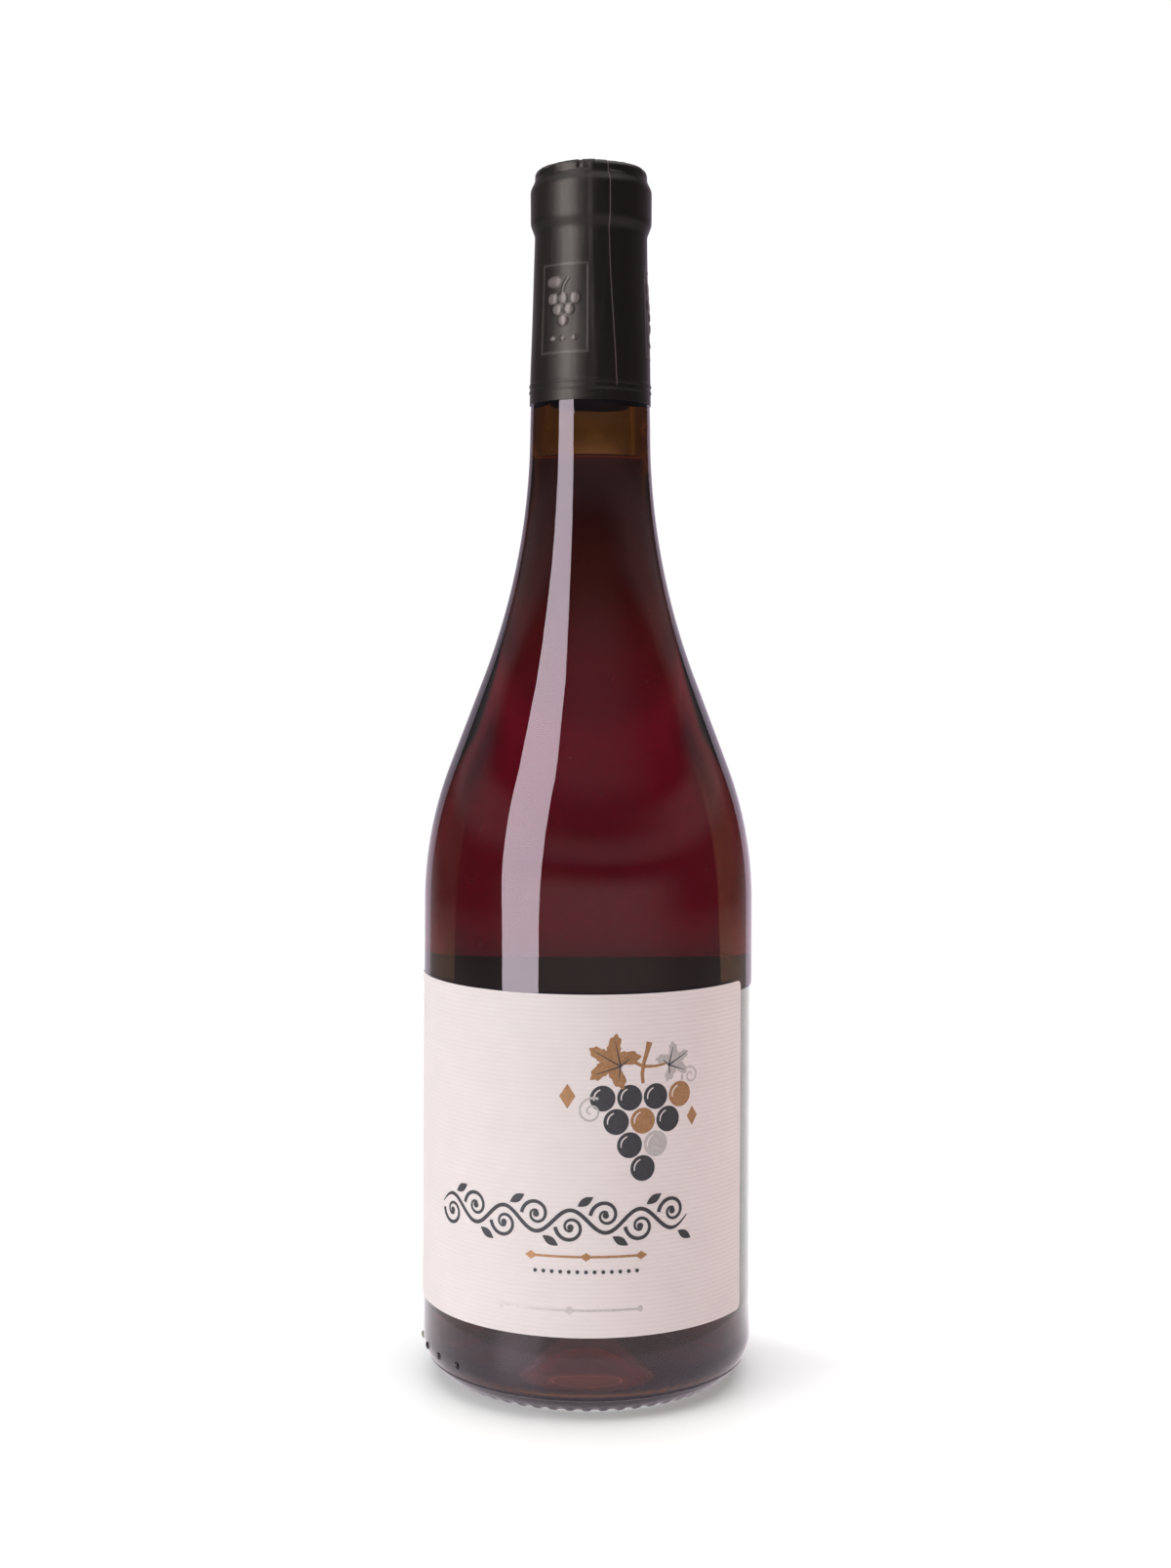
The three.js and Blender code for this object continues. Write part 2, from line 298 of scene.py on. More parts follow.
def table_top():
    """A round matt white table whose top is at the height that the bottle stands on, and whose glow is
    painted light.
    """
    made, tree, shader = material("acrylic_with_painted_light")
    place = add(tree, "TexCoord").outputs["Object"]
    grain = add(tree, "TexNoise", {}, {"Vector": place, "Scale": 1 / (GRAIN * MM), "Detail": 2.0})
    relief = add(tree, "Bump", {}, {"Strength": 0.03, "Distance": 0.0002, "Height": grain.outputs[0]})
    rearward = add(tree, "VectorMath", {"operation": "DOT_PRODUCT"}, {0: place, 1: RIGHT_REAR})
    from_axis = add(tree, "VectorMath", {"operation": "LENGTH"}, {0: place})
    # The glow paints a pool of light at the right rear and a shadow ring round the foot.
    painted_rear_pool = curve(tree, rearward.outputs["Value"], PAINTED_POOL_TO_RIGHT_REAR, MM)
    glow_and_painted_shadow = curve(tree, from_axis.outputs["Value"], GLOW_AND_PAINTED_SHADOW_BY_RADIUS, MM, "CARDINAL")
    glow = add(tree, "Math", {"operation": "ADD"}, {0: painted_rear_pool, 1: glow_and_painted_shadow}).outputs[0]
    sockets = {
        "Base Color": linear("#f4f3f3"),
        "Roughness": 0.4,
        "Normal": relief.outputs[0],
        "Emission Color": linear("#fbfffd"),
        "Emission Strength": glow,
    }
    wire(tree, shader, sockets)
    mesh = bpy.data.meshes.new("table_top")
    form = bmesh.new()
    bmesh.ops.create_circle(form, cap_ends=True, segments=128, radius=TABLE_RADIUS)
    form.to_mesh(mesh)
    form.free()
    mesh.materials.append(made)
    table = bpy.data.objects.new("table_top", mesh)
    table.visible_transmission = False
    scene.collection.objects.link(table)
    table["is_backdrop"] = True


def foot_light():
    """A flat round lamp on the table, face up, which only the bottle's reflections show."""
    width = 2 * FOOT_LIGHT_RADIUS
    area = math.pi * FOOT_LIGHT_RADIUS**2
    light = (FOOT_LIGHT_BRIGHTNESS, "#f0dcee", ("diffuse", "transmission"))
    disc = area_lamp("foot_light", "DISK", (width, width), area, *light)
    disc.location.z = FOOT_LIGHT_HEIGHT
    disc.rotation_euler.x = math.pi


table_top()
foot_light()
scene.view_settings.view_transform = "Standard"
print("table radius", TABLE_RADIUS)

# %% [markdown]
# Dark wine needs a light of its own. A photographer stands a card close behind the bottle, brightest
# just above the label and darker upwards, so that the body glows and the neck stays deep. Here it
# is a curved card of backlit opal film, 20 cm behind the bottle's axis. The glass sees it but the
# camera does not, as if it was cut to the bottle's outline. A narrow lighter band at 250 mm shows
# through the neck about where the wine's surface lies. The bottle's edges bend the light far aside
# and down, so the card's ends and low corners have a glow of their own. Without it the shoulder's
# edges would be black. All its tables are in millimetres.

# %% Stand the card behind the bottle
CARD_RADIUS = 0.20
CARD_HEIGHT = 0.30
CARD_HALF_TURN = math.radians(80)
CARD_FOOT = 0.0005
CARD_COLUMNS = 49
CARD_TINT = "#fff4fb"
CARD_BRIGHTNESS = 1.25  # at its middle
CARD_BY_HEIGHT = {
    0: 0.25, 68: 0.25, 88: 1.0, 106: 0.58, 131: 0.36, 160: 0.19, 192: 0.10,
    226: 0.04, 238: 0.04, 246.5: 0.05, 249.5: 0.24, 254: 0.13, 262: 0.11,
}
BESIDE_BY_HEIGHT = {115: 0.55, 150: 1.125}  # the brightness beside its middle
BESIDE_BY_WIDTH = {10: 0, 110: 1}
ENDS_BY_WIDTH = {-175: 0.2, -140: 0, 140: 0, 175: 0.7}
ENDS_BY_HEIGHT = {180: 1, 250: 0.12}
CORNERS_BY_WIDTH = {70: 0, 110: 0.8}
CORNERS_BY_HEIGHT = {70: 1, 100: 0}


def glowing_card():
    """A curved card behind the bottle whose light fades upwards and to its sides."""
    made = bpy.data.materials.new("backlit_opal_film")
    made.use_nodes = True
    tree = made.node_tree
    place = add(tree, "TexCoord").outputs["Object"]
    across, _, height = add(tree, "SeparateXYZ", {}, {"Vector": place}).outputs
    aside = add(tree, "Math", {"operation": "ABSOLUTE"}, {0: across}).outputs[0]
    beside = curve(tree, height, BESIDE_BY_HEIGHT, MM)
    share = curve(tree, aside, BESIDE_BY_WIDTH, MM)
    mixed = {"Factor": share, "A": CARD_BRIGHTNESS, "B": beside}
    parts = [
        (curve(tree, height, CARD_BY_HEIGHT, MM, "CARDINAL"), add(tree, "Mix", {}, mixed).outputs[0]),
        (curve(tree, height, ENDS_BY_HEIGHT, MM), curve(tree, across, ENDS_BY_WIDTH, MM)),
        (curve(tree, height, CORNERS_BY_HEIGHT, MM), curve(tree, aside, CORNERS_BY_WIDTH, MM)),
    ]
    strength = 0.0
    for fade, width in parts:
        sockets = {0: fade, 1: width, 2: strength}
        strength = add(tree, "Math", {"operation": "MULTIPLY_ADD"}, sockets).outputs[0]
    glow = add(tree, "Emission", {}, {"Color": linear(CARD_TINT), "Strength": strength}).outputs[0]
    wire(tree, tree.nodes["Material Output"], {"Surface": glow})
    turns = math.pi + np.linspace(-CARD_HALF_TURN, CARD_HALF_TURN, CARD_COLUMNS)
    foot = [(CARD_RADIUS * math.sin(t), -CARD_RADIUS * math.cos(t), CARD_FOOT) for t in turns]
    points = foot + [(x, y, CARD_HEIGHT) for x, y, _ in foot]
    count = len(foot)
    mesh = bpy.data.meshes.new("backlight_card")
    mesh.from_pydata(points, [], [(i, i + 1, count + i + 1, count + i) for i in range(count - 1)])
    mesh.materials.append(made)
    card = bpy.data.objects.new("backlight_card", mesh)
    scene.collection.objects.link(card)
    for ray in ("camera", "diffuse", "glossy", "shadow"):
        setattr(card, "visible_" + ray, False)
    card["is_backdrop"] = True


glowing_card()
print("card levels by height in mm:", CARD_BY_HEIGHT)

# %% [markdown]
# ## Turned meshes
#
# A bottle is blown in a turned mould, so nearly every surface here is an outline spun about the Z
# axis. Blender's Screw modifier could do it, but the heel's bars, the capsule's overlap and the
# waves in the wall change with the angle too. So a piece is a grid of points, one row for each
# point of the outline and one column for each angle, whose first and last rows shrink to a pole.
# Angle 0 faces the camera and angles grow to its right.

# %% Build a mesh from a grid of points
SHARP_FROM = 50  # degrees between two faces whose edge stays crisp


def shown(mesh, finish):
    """Put a mesh in the scene as a piece that rides on the bottle, with one material."""
    piece = bpy.data.objects.new(mesh.name, mesh)
    mesh.materials.append(finish)
    mesh.shade_smooth()
    mesh.set_sharp_from_angle(angle=math.radians(SHARP_FROM))
    scene.collection.objects.link(piece)
    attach(piece, "root")
    return piece


def turned_mesh(name, radius, height, angle):
    """A closed mesh from grids of radius, height and angle, each of one row per outline point."""
    rows, columns = radius.shape
    x = radius * np.sin(angle)
    y = -radius * np.cos(angle)
    rings = np.stack([x, y, height], axis=-1)[1:-1].reshape(-1, 3)
    poles = [(0, 0, height[0, 0]), (0, 0, height[-1, 0])]
    first, last = len(rings), len(rings) + 1
    index = np.arange(len(rings)).reshape(rows - 2, columns)
    after = np.roll(index, -1, axis=1)
    quads = np.stack([index[:-1], after[:-1], after[1:], index[1:]], axis=-1).reshape(-1, 4)
    faces = quads.tolist()
    faces += [(first, after[0, j], index[0, j]) for j in range(columns)]
    faces += [(last, index[-1, j], after[-1, j]) for j in range(columns)]
    mesh = bpy.data.meshes.new(name)
    mesh.from_pydata((np.vstack([rings, poles]) * MM).tolist(), [], faces)
    mesh.validate()
    return mesh


def measured(mesh):
    """A closed mesh's size in words. The volume is negative if the faces point inwards."""
    form = bmesh.new()
    form.from_mesh(mesh)
    volume = form.calc_volume(signed=True) * 1e6
    form.free()
    return f"{mesh.name}: {len(mesh.polygons)} faces, {volume:.2f} cubic cm"


def even(start, end, spacing):
    """Values from start to end at about the given spacing, both ends included."""
    return np.linspace(start, end, max(2, round(abs(end - start) / spacing) + 1))


print("turned meshes are closed at two poles")

# %% [markdown]
# ## The bottle's outline
#
# Seen from the side the glass is a straight body, a full curve at the shoulder, a slope, a hollow
# sweep and a straight neck. Two arcs that share the slope's angle give exactly that with no kink,
# so the outline needs only five numbers. The wall is thin in the body, where the glass was blown
# out far, and twice as thick in the neck.

# %% Outline functions
NECK_RADIUS = 15.1
NECK_FOOT = 234.8
SLOPE = math.radians(20.8)
SWEEP_RADIUS = 175
SHOULDER_RADIUS = 94
HEEL_RADIUS = 10
FOOT_CLEARANCE = 0.4
BODY_WALL, NECK_WALL = 2.3, 4.9
WALL_THICKENS_FROM = 150
WAVE_DEPTH = 0.07
WAVES_FROM, WAVES_FULL = 8, 40  # heights between which the waves grow

sweep_end_radius = NECK_RADIUS + SWEEP_RADIUS * (1 - math.cos(SLOPE))
sweep_end = NECK_FOOT - SWEEP_RADIUS * math.sin(SLOPE)
shoulder_end_radius = BODY_RADIUS - SHOULDER_RADIUS * (1 - math.cos(SLOPE))
shoulder_end = sweep_end - (shoulder_end_radius - sweep_end_radius) / math.tan(SLOPE)
body_top = shoulder_end - SHOULDER_RADIUS * math.sin(SLOPE)


def outer_radius(z):
    """The glass's outer radius from the heel's top to the capsule."""
    above_body = np.clip(z - body_top, 0, SHOULDER_RADIUS * math.sin(SLOPE))
    below_neck = np.clip(NECK_FOOT - z, 0, SWEEP_RADIUS * math.sin(SLOPE))
    shoulder = BODY_RADIUS - SHOULDER_RADIUS + np.sqrt(SHOULDER_RADIUS**2 - above_body**2)
    sweep = NECK_RADIUS + SWEEP_RADIUS - np.sqrt(SWEEP_RADIUS**2 - below_neck**2)
    slope = sweep_end_radius + (sweep_end - z) * math.tan(SLOPE)
    return np.where(z < shoulder_end, shoulder, np.where(z < sweep_end, slope, sweep))


def smooth_step(value, start, end):
    """0 before start, 1 after end, and a soft ramp between them."""
    share = np.clip((value - start) / (end - start), 0, 1)
    return share * share * (3 - 2 * share)


def wall_waves(z, angle):
    """Slow waves on the inside of blown glass, which make the highlights behind it drift."""
    tall = np.sin(3 * angle + z / 21 + 0.8) + 0.7 * np.sin(5 * angle - z / 13 + 2.1)
    round_about = 0.6 * np.sin(z / 9.5 + 2 * angle) + 0.5 * np.sin(8 * angle + z / 30 + 4.0)
    return WAVE_DEPTH * (tall + round_about)


def inner_radius(z, angle):
    """The glass's inner radius up to the neck."""
    share = smooth_step(z, WALL_THICKENS_FROM, NECK_FOOT)
    wall = BODY_WALL + (NECK_WALL - BODY_WALL) * share
    return outer_radius(z) - wall + wall_waves(z, angle) * smooth_step(z, WAVES_FROM, WAVES_FULL)


print(f"straight up to {body_top:.1f}, slope up to {sweep_end:.1f}, neck from {NECK_FOOT}")

# %% [markdown]
# The foot is not smooth. A ring of 56 short bars keeps the hot bottle off the conveyor, and the
# two halves of the mould and its base plate leave one fine raised line round the heel. Both are a
# small lift of the same grid. The base curls up inside into the punt.

# %% Foot functions
PUNT_RADIUS = 27
PUNT_DEPTH = 15
BASE_THICKNESS = 4.6
BAR_COUNT = 56
BAR_SHARE = 0.46  # how much of the pitch a bar takes
BAR_FLANK = 0.35  # the softness of a bar's two flanks
BAR_INNER, BAR_OUTER = 31.2, 37.4
BAR_INNER_HALF, BAR_OUTER_LENGTH = 0.6, 2.2  # of the soft ramps at a bar's two ends
HEEL_LINE_HEIGHT = 5.0
HEEL_LINE_PROUD = 0.28
HEEL_LINE_HALF = 0.32


def bell(radius, reach):
    """The punt's rise over the foot: a bell that is level at its top and at its rim."""
    return PUNT_DEPTH * np.cos(math.pi / 2 * np.minimum(radius / reach, 1)) ** 2


def bar_drop(radius, angle):
    """How far a grip bar reaches below the foot."""
    turn = np.cos(BAR_COUNT * angle)
    flank = math.cos(math.pi * BAR_SHARE)
    crest = smooth_step(turn, flank - BAR_FLANK, flank + BAR_FLANK)
    start = smooth_step(radius, BAR_INNER - BAR_INNER_HALF, BAR_INNER + BAR_INNER_HALF)
    fade = 1 - smooth_step(radius, BAR_OUTER - BAR_OUTER_LENGTH, BAR_OUTER)
    return crest * start * fade


def foot_outline(angle):
    """Rows of radius and height from the punt's middle out over the foot and up to the body."""
    flat_end = BODY_RADIUS - HEEL_RADIUS
    punt = np.concatenate([even(0, PUNT_RADIUS, 2.0), even(PUNT_RADIUS + 0.8, flat_end, 0.8)])
    flat = FOOT_CLEARANCE + bell(punt, PUNT_RADIUS)
    line_at = math.acos(1 - (HEEL_LINE_HEIGHT - FOOT_CLEARANCE) / HEEL_RADIUS)
    turns = np.concatenate([even(0.05, math.pi / 2, 0.05), line_at + even(-0.09, 0.09, 0.015)])
    turns = np.unique(np.round(turns, 4))
    ridge = HEEL_LINE_PROUD * np.exp(-(((turns - line_at) * HEEL_RADIUS / HEEL_LINE_HALF) ** 2))
    reach = HEEL_RADIUS + ridge
    heel_radius = flat_end + reach * np.sin(turns)
    heel_height = FOOT_CLEARANCE + HEEL_RADIUS - reach * np.cos(turns)
    radius = np.concatenate([punt, heel_radius])[:, None] + 0 * angle
    height = np.concatenate([flat, heel_height])[:, None] + 0 * angle
    return radius, height - FOOT_CLEARANCE * bar_drop(radius, angle)


print("one bar every", round(2 * math.pi * BODY_RADIUS / BAR_COUNT, 1), "mm of the body's girth")

# %% [markdown]
# ## The capsule's outline
#
# A shrink capsule takes the form of the glass under it: a skirt that widens a little downwards, a
# collar over the glass ring under the mouth, and a rounded top edge. The film spans the steps in
# soft curves, so the outline is a line through named points, rounded by a smoothing pass.

# %% Capsule outline
SKIRT_FOOT_RADIUS, SKIRT_TOP_RADIUS = 15.25, 14.12
SKIRT_TOP = 283.4
COLLAR_FOOT, COLLAR_TOP = 286.3, 294.8
COLLAR_RADIUS = 15.2
LIP_FOOT, LIP_RADIUS, LIP_ROUNDING = 297.2, 14.05, 1.9
FILM = 0.25
SMOOTHING = 0.55

lip_turn = np.linspace(0, math.pi / 2, 9)
profile_z = np.array([CAPSULE_RIM, SKIRT_TOP, COLLAR_FOOT, COLLAR_TOP, LIP_FOOT])
profile_r = np.array([SKIRT_FOOT_RADIUS, SKIRT_TOP_RADIUS, COLLAR_RADIUS, COLLAR_RADIUS, LIP_RADIUS])
CROWN = CAPSULE_TOP - LIP_ROUNDING


def capsule_radius(z):
    """The film's outer radius from its rim up to where the top edge starts to round."""
    nearby = np.linspace(-SMOOTHING, SMOOTHING, 7)
    return np.mean([np.interp(z + step, profile_z, profile_r) for step in nearby], axis=0)


print("film radius at rim and collar:", capsule_radius(CAPSULE_RIM), capsule_radius(290.0))

# %% [markdown]
# ## The glass
#
# The grid runs from the punt's middle out under the foot, up the outside, over the mouth, down the
# bore and the inner wall, and back to the middle over the punt. The outside is nearly perfect, as
# it touched the mould. The inside never touched anything, and keeps slow waves.

# %% Shape the glass
GLASS_COLUMNS = 6 * BAR_COUNT
BORE_RADIUS, MOUTH_BORE_RADIUS = 9.6, 9.25
SHRINK_GAP = 0.05  # between the glass and the film round it
CORK_SEAT = GLASS_HEIGHT - 50
glass_angle = np.linspace(0, 2 * math.pi, GLASS_COLUMNS, endpoint=False)[None, :]


def inner_floor(angle, reach_out):
    """Rows from the inside's middle out over the punt and up its corner, moved out by a margin."""
    corner_start = BODY_RADIUS - HEEL_RADIUS
    corner = BODY_RADIUS - BODY_WALL + reach_out - corner_start
    floor = FOOT_CLEARANCE + BASE_THICKNESS - reach_out
    across = even(0, corner_start, 2.2)
    turns = even(0, math.pi / 2, 0.12)[1:]
    radius = np.concatenate([across, corner_start + corner * np.sin(turns)])
    height = np.concatenate([floor + bell(across, corner_start), floor + corner * (1 - np.cos(turns))])
    return radius[:, None] + 0 * angle, height[:, None] + 0 * angle


def inner_wall(angle, reach_out, top):
    """Rows from the inside's corner up to a height."""
    low = even(16, body_top, 6.0)
    high = even(body_top, top, 2.5)[1:]
    height = np.concatenate([low, high])[:, None] + 0 * angle
    return inner_radius(height, angle) + reach_out, height


def glass_grid(angle):
    """All rows of the glass in order, as one closed outline at each angle."""
    foot_r, foot_z = foot_outline(angle)
    side_z = np.concatenate([even(14, body_top, 8.0), even(body_top, NECK_FOOT, 2.0)[1:]])
    side_r = outer_radius(side_z)
    finish_z = np.concatenate([[CAPSULE_RIM], even(CAPSULE_RIM + 1, CROWN - 1, 2.5), [GLASS_HEIGHT]])
    finish_r = capsule_radius(finish_z) - FILM - SHRINK_GAP
    finish_r[-1] -= LIP_ROUNDING
    mouth_z = np.array([GLASS_HEIGHT, GLASS_HEIGHT - 1.0, CORK_SEAT, NECK_FOOT + 2])
    mouth_r = np.array([MOUTH_BORE_RADIUS + 1.0, MOUTH_BORE_RADIUS, BORE_RADIUS, NECK_RADIUS - NECK_WALL])
    wall_r, wall_z = inner_wall(angle, 0, NECK_FOOT)
    floor_r, floor_z = inner_floor(angle, 0)
    outside_r = np.concatenate([side_r, finish_r, mouth_r])[:, None] + 0 * angle
    outside_z = np.concatenate([side_z, finish_z, mouth_z])[:, None] + 0 * angle
    radius = np.vstack([foot_r, outside_r, wall_r[::-1], floor_r[::-1]])
    height = np.vstack([foot_z, outside_z, wall_z[::-1], floor_z[::-1]])
    return radius, height


glass_radius, glass_height_grid = glass_grid(glass_angle)
glass_mesh = turned_mesh("bottle_glass", glass_radius, glass_height_grid, glass_angle)
print(measured(glass_mesh))

# %% [markdown]
# The row of round dots on the left of the heel is a mould mark, each about as big as a pinhead.
# They are too small for the grid, so each is a flattened ball that is joined to the glass by a
# Boolean union, which leaves one clean closed mesh.

# %% Join the heel's dots
DOT_COUNT = 6
FIRST_DOT, DOT_STEP = math.radians(-49.5), math.radians(-11.8)
DOT_HEIGHT = 8.5
DOT_HALF_SIZES = (0.72, 0.98, 0.52)  # across, along and out of the heel


def heel_dots():
    """All dots as one mesh of separate balls, half sunk in the heel."""
    lean = math.acos(1 - (DOT_HEIGHT - FOOT_CLEARANCE) / HEEL_RADIUS)
    out = BODY_RADIUS - HEEL_RADIUS + HEEL_RADIUS * math.sin(lean)
    form = bmesh.new()
    for i in range(DOT_COUNT):
        angle = FIRST_DOT + i * DOT_STEP
        ball = bmesh.ops.create_uvsphere(form, u_segments=20, v_segments=12, radius=1.0)["verts"]
        sine, cosine = math.sin(angle), math.cos(angle)
        place = Vector((out * sine, -out * cosine, DOT_HEIGHT))
        outward = Vector((sine * math.sin(lean), -cosine * math.sin(lean), -math.cos(lean)))
        across = Vector((cosine, sine, 0))
        along = outward.cross(across)
        for vert in ball:
            parts = [c * half for c, half in zip(vert.co, DOT_HALF_SIZES)]
            vert.co = (place + across * parts[0] + along * parts[1] + outward * parts[2]) * MM
    mesh = bpy.data.meshes.new("heel_dots")
    form.to_mesh(mesh)
    form.free()
    return mesh


def joined(mesh, extra):
    """The union of a mesh and another one, as a new mesh."""
    base = bpy.data.objects.new("union_base", mesh)
    tool = bpy.data.objects.new("union_tool", extra)
    for helper in (base, tool):
        scene.collection.objects.link(helper)
    union = base.modifiers.new("union", "BOOLEAN")
    union.operation = "UNION"
    union.solver = "MANIFOLD"
    union.object = tool
    bpy.context.view_layer.update()
    result = bpy.data.meshes.new_from_object(base.evaluated_get(bpy.context.evaluated_depsgraph_get()))
    for helper in (base, tool):
        bpy.data.objects.remove(helper)
    result.materials.clear()
    return result


dotted_mesh = joined(glass_mesh, heel_dots())
bpy.data.meshes.remove(glass_mesh)
dotted_mesh.name = "bottle_glass"
print("with dots,", measured(dotted_mesh))

# %% [markdown]
# ## Finish of the glass
#
# This is soda-lime container glass in the brown-olive tint that wine bottles have, blown and then
# fire-polished, so its surface is mirror smooth. The colour is in the glass and not on it, which is
# why thick parts look darker. So the shader is clear, and a volume absorption gives the tint:
# Blender takes away more of a colour the farther the light travels. The hot bottle was
# sprayed with tin oxide against scratches, which gives its reflections a faint purple tone. The
# surface has only a little dust and the slightest roughness from handling.

# %% Make the glass
GLASS_TINT = "#e1c05e"
GLASS_DENSITY = 400.0  # per metre
DUST_SPACING = 9.0  # millimetres between specks
SPECK_CORE, SPECK_EDGE = 0.016, 0.026  # a speck's full and outer radius as shares of the spacing
HANDLING_SIZE = 22.2  # millimetres across a hazy patch


def container_glass():
    """Olive-brown soda-lime glass, blown in a mould and fire-polished."""
    made, tree, shader = material("soda_lime_glass_olive_brown")
    place = add(tree, "TexCoord").outputs["Object"]
    specks = add(tree, "TexVoronoi", {}, {"Vector": place, "Scale": 1 / (DUST_SPACING * MM)})
    near = {"Value": specks.outputs["Distance"], 1: SPECK_CORE, 2: SPECK_EDGE, 3: 1.0, 4: 0.0}
    speck = add(tree, "MapRange", {}, near)
    patches = {"Vector": place, "Scale": 1 / (HANDLING_SIZE * MM), "Detail": 3.0}
    handling = add(tree, "TexNoise", {}, patches)
    haze = add(tree, "MapRange", {}, {"Value": handling.outputs[0], 1: 0.45, 2: 0.8, 3: 0.004, 4: 0.03})
    rough = add(tree, "Mix", {}, {"Factor": speck.outputs[0], "A": haze.outputs[0], "B": 0.5})
    relief = add(tree, "Bump", {}, {"Strength": 0.25, "Distance": 0.00006, "Height": speck.outputs[0]})
    tint = add(tree, "VolumeAbsorption", {}, {"Color": linear(GLASS_TINT), "Density": GLASS_DENSITY})
    sockets = {
        "Base Color": linear("#fefefc"),
        "Specular Tint": linear("#f3e3f4"),
        "Transmission Weight": 1.0,
        "IOR": 1.52,
        "Roughness": rough.outputs[0],
        "Normal": relief.outputs[0],
    }
    wire(tree, shader, sockets)
    wire(tree, tree.nodes["Material Output"], {"Volume": tint.outputs[0]})
    return made


glass = shown(dotted_mesh, container_glass())
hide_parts("glass_bottle")
print("glass piece:", glass.name)

# %% [markdown]
# ## The wine
#
# The wine fills the glass up to the lower neck. Its surface climbs a little where it wets the wall.
# Its sides follow the inner wall with all its waves, but reach a tenth of a millimetre into the
# glass: light then passes from one into the other with no gap of air, as it does in a real bottle.

# %% Shape the wine
WINE_COLUMNS = 168
WINE_REACH = 0.10
MENISCUS_RISE = 0.6
MENISCUS_WIDTH = 0.9
wine_angle = np.linspace(0, 2 * math.pi, WINE_COLUMNS, endpoint=False)[None, :]


def wine_grid(angle):
    """Rows from the middle of the floor up the wall and back over the surface to its middle."""
    floor_r, floor_z = inner_floor(angle, WINE_REACH)
    contact = FILL_LEVEL + MENISCUS_RISE / 2
    wall_r, wall_z = inner_wall(angle, WINE_REACH, contact)
    from_wall = np.concatenate([even(0.04, 1.6, 0.08), even(2, 9, 1.0)])[:, None]
    surface_r = np.maximum(wall_r[-1:] - from_wall, 0.3)
    climb = MENISCUS_RISE * (np.exp(-from_wall / MENISCUS_WIDTH) - 1)
    surface_z = contact + climb + 0 * surface_r
    middle_z = np.full((1, angle.size), contact - MENISCUS_RISE)
    radius = np.vstack([floor_r, wall_r, surface_r, 0 * middle_z])
    height = np.vstack([floor_z, wall_z, surface_z, middle_z])
    return radius, height


wine_radius, wine_height = wine_grid(wine_angle)
wine_mesh = turned_mesh("red_wine", wine_radius, wine_height, wine_angle)
print(measured(wine_mesh))

# %% [markdown]
# Red wine is clear. It is mostly water and alcohol, so its index is 1.34, and pigment takes out
# green first, then blue, then some red. A volume absorption does just that: the thin neck stays
# lighter for the same density than the body, eight centimetres deep.

# %% Make the wine
WINE_TINT = "#d12ab2"
WINE_DENSITY = 86.0  # per metre
RIPPLE = 3.0  # millimetres


def red_wine():
    """Clear red wine, filtered and still."""
    made, tree, shader = material("clear_red_wine")
    tint = add(tree, "VolumeAbsorption", {}, {"Color": linear(WINE_TINT), "Density": WINE_DENSITY})
    place = add(tree, "TexCoord").outputs["Object"]
    ripple = add(tree, "TexNoise", {}, {"Vector": place, "Scale": 1 / (RIPPLE * MM), "Detail": 1.0})
    relief = add(tree, "Bump", {}, {"Strength": 0.1, "Distance": 0.00005, "Height": ripple.outputs[0]})
    sockets = {
        "Base Color": linear("#fffdfd"),
        "Transmission Weight": 1.0,
        "IOR": 1.34,
        "Roughness": 0.0,
        "Normal": relief.outputs[0],
    }
    wire(tree, shader, sockets)
    wire(tree, tree.nodes["Material Output"], {"Volume": tint.outputs[0]})
    return made


wine = shown(wine_mesh, red_wine())
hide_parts("wine")
print("wine piece:", wine.name)

# %% [markdown]
# ## The capsule
#
# The capsule is a sleeve of black PVC film with a loose disc on top. It was wrapped with an
# overlap, glued, dropped over the mouth and shrunk with hot air. So four things show in its
# surface: the step where the upper layer ends, small folds at the top edge where the film had to
# give, two fine ribs that were pressed near the rim, and a stamped panel with a small bunch of
# grapes. All four are a relief in the grid. The columns near the step lean with it, so that its
# edge stays crisp however it wanders.

# %% Relief of the film
CAPSULE_COLUMNS = 360
SEAM = math.radians(22)
SEAM_HEIGHTS = [244, 251, 259, 270, 279, 286, 295, 300]
SEAM_DEGREES = [25.4, 24.4, 22.4, 19.8, 18.6, 17.8, 17.8, 16.7]
SEAM_STEP = 0.15
OVERLAP_FROM, OVERLAP_TO = math.radians(-24), math.radians(-17)
RIB_HEIGHTS = [244.1, 245.7]
RIB_PROUD, RIB_HALF = 0.26, 0.3
PANEL_TURNS = [math.radians(t) for t in (-28, 92, 212)]
PANEL_HALF_WIDTH, PANEL_HALF_HEIGHT = 6.5, 10.85
PANEL_MIDDLE = 263.5
PANEL_RADIUS = 14.6
FRAME_PROUD, FRAME_HALF = 0.09, 0.26
BERRIES = [(-3.1, 2.4), (0, 2.4), (3.1, 2.4), (-1.55, -0.3), (1.55, -0.3), (0, -3.0)]
BERRY_RADIUS = 1.45
BERRY_PROUD, STALK_PROUD, LEAF_PROUD, LOZENGE_PROUD = 0.34, 0.22, 0.24, 0.2
LOZENGE_MIDDLES, LOZENGE_V = (-3.0, 0.0, 3.0), -7.4
FULLY_STAMPED = 0.24  # figures that stand out this far are wholly covered by the stamp
SEAM_STARTS = 243.4, 244.6  # heights between which the step comes up from the rim
FOLD_COUNTS, FOLD_PROUD, FOLD_ENDS = (7, 12, 19, 27, 38), 0.07, (296.5, 300.0)
PLEAT_LOW, PLEAT_RISE = 298.5, 1.5
PLEAT_PROUD, PLEAT_HALF = 0.28, 0.4
CREASE, CREASE_HALF = math.radians(-12), 0.03
CREASE_DEPTH, CREASE_ENDS = 0.25, (297.5, 298.5)


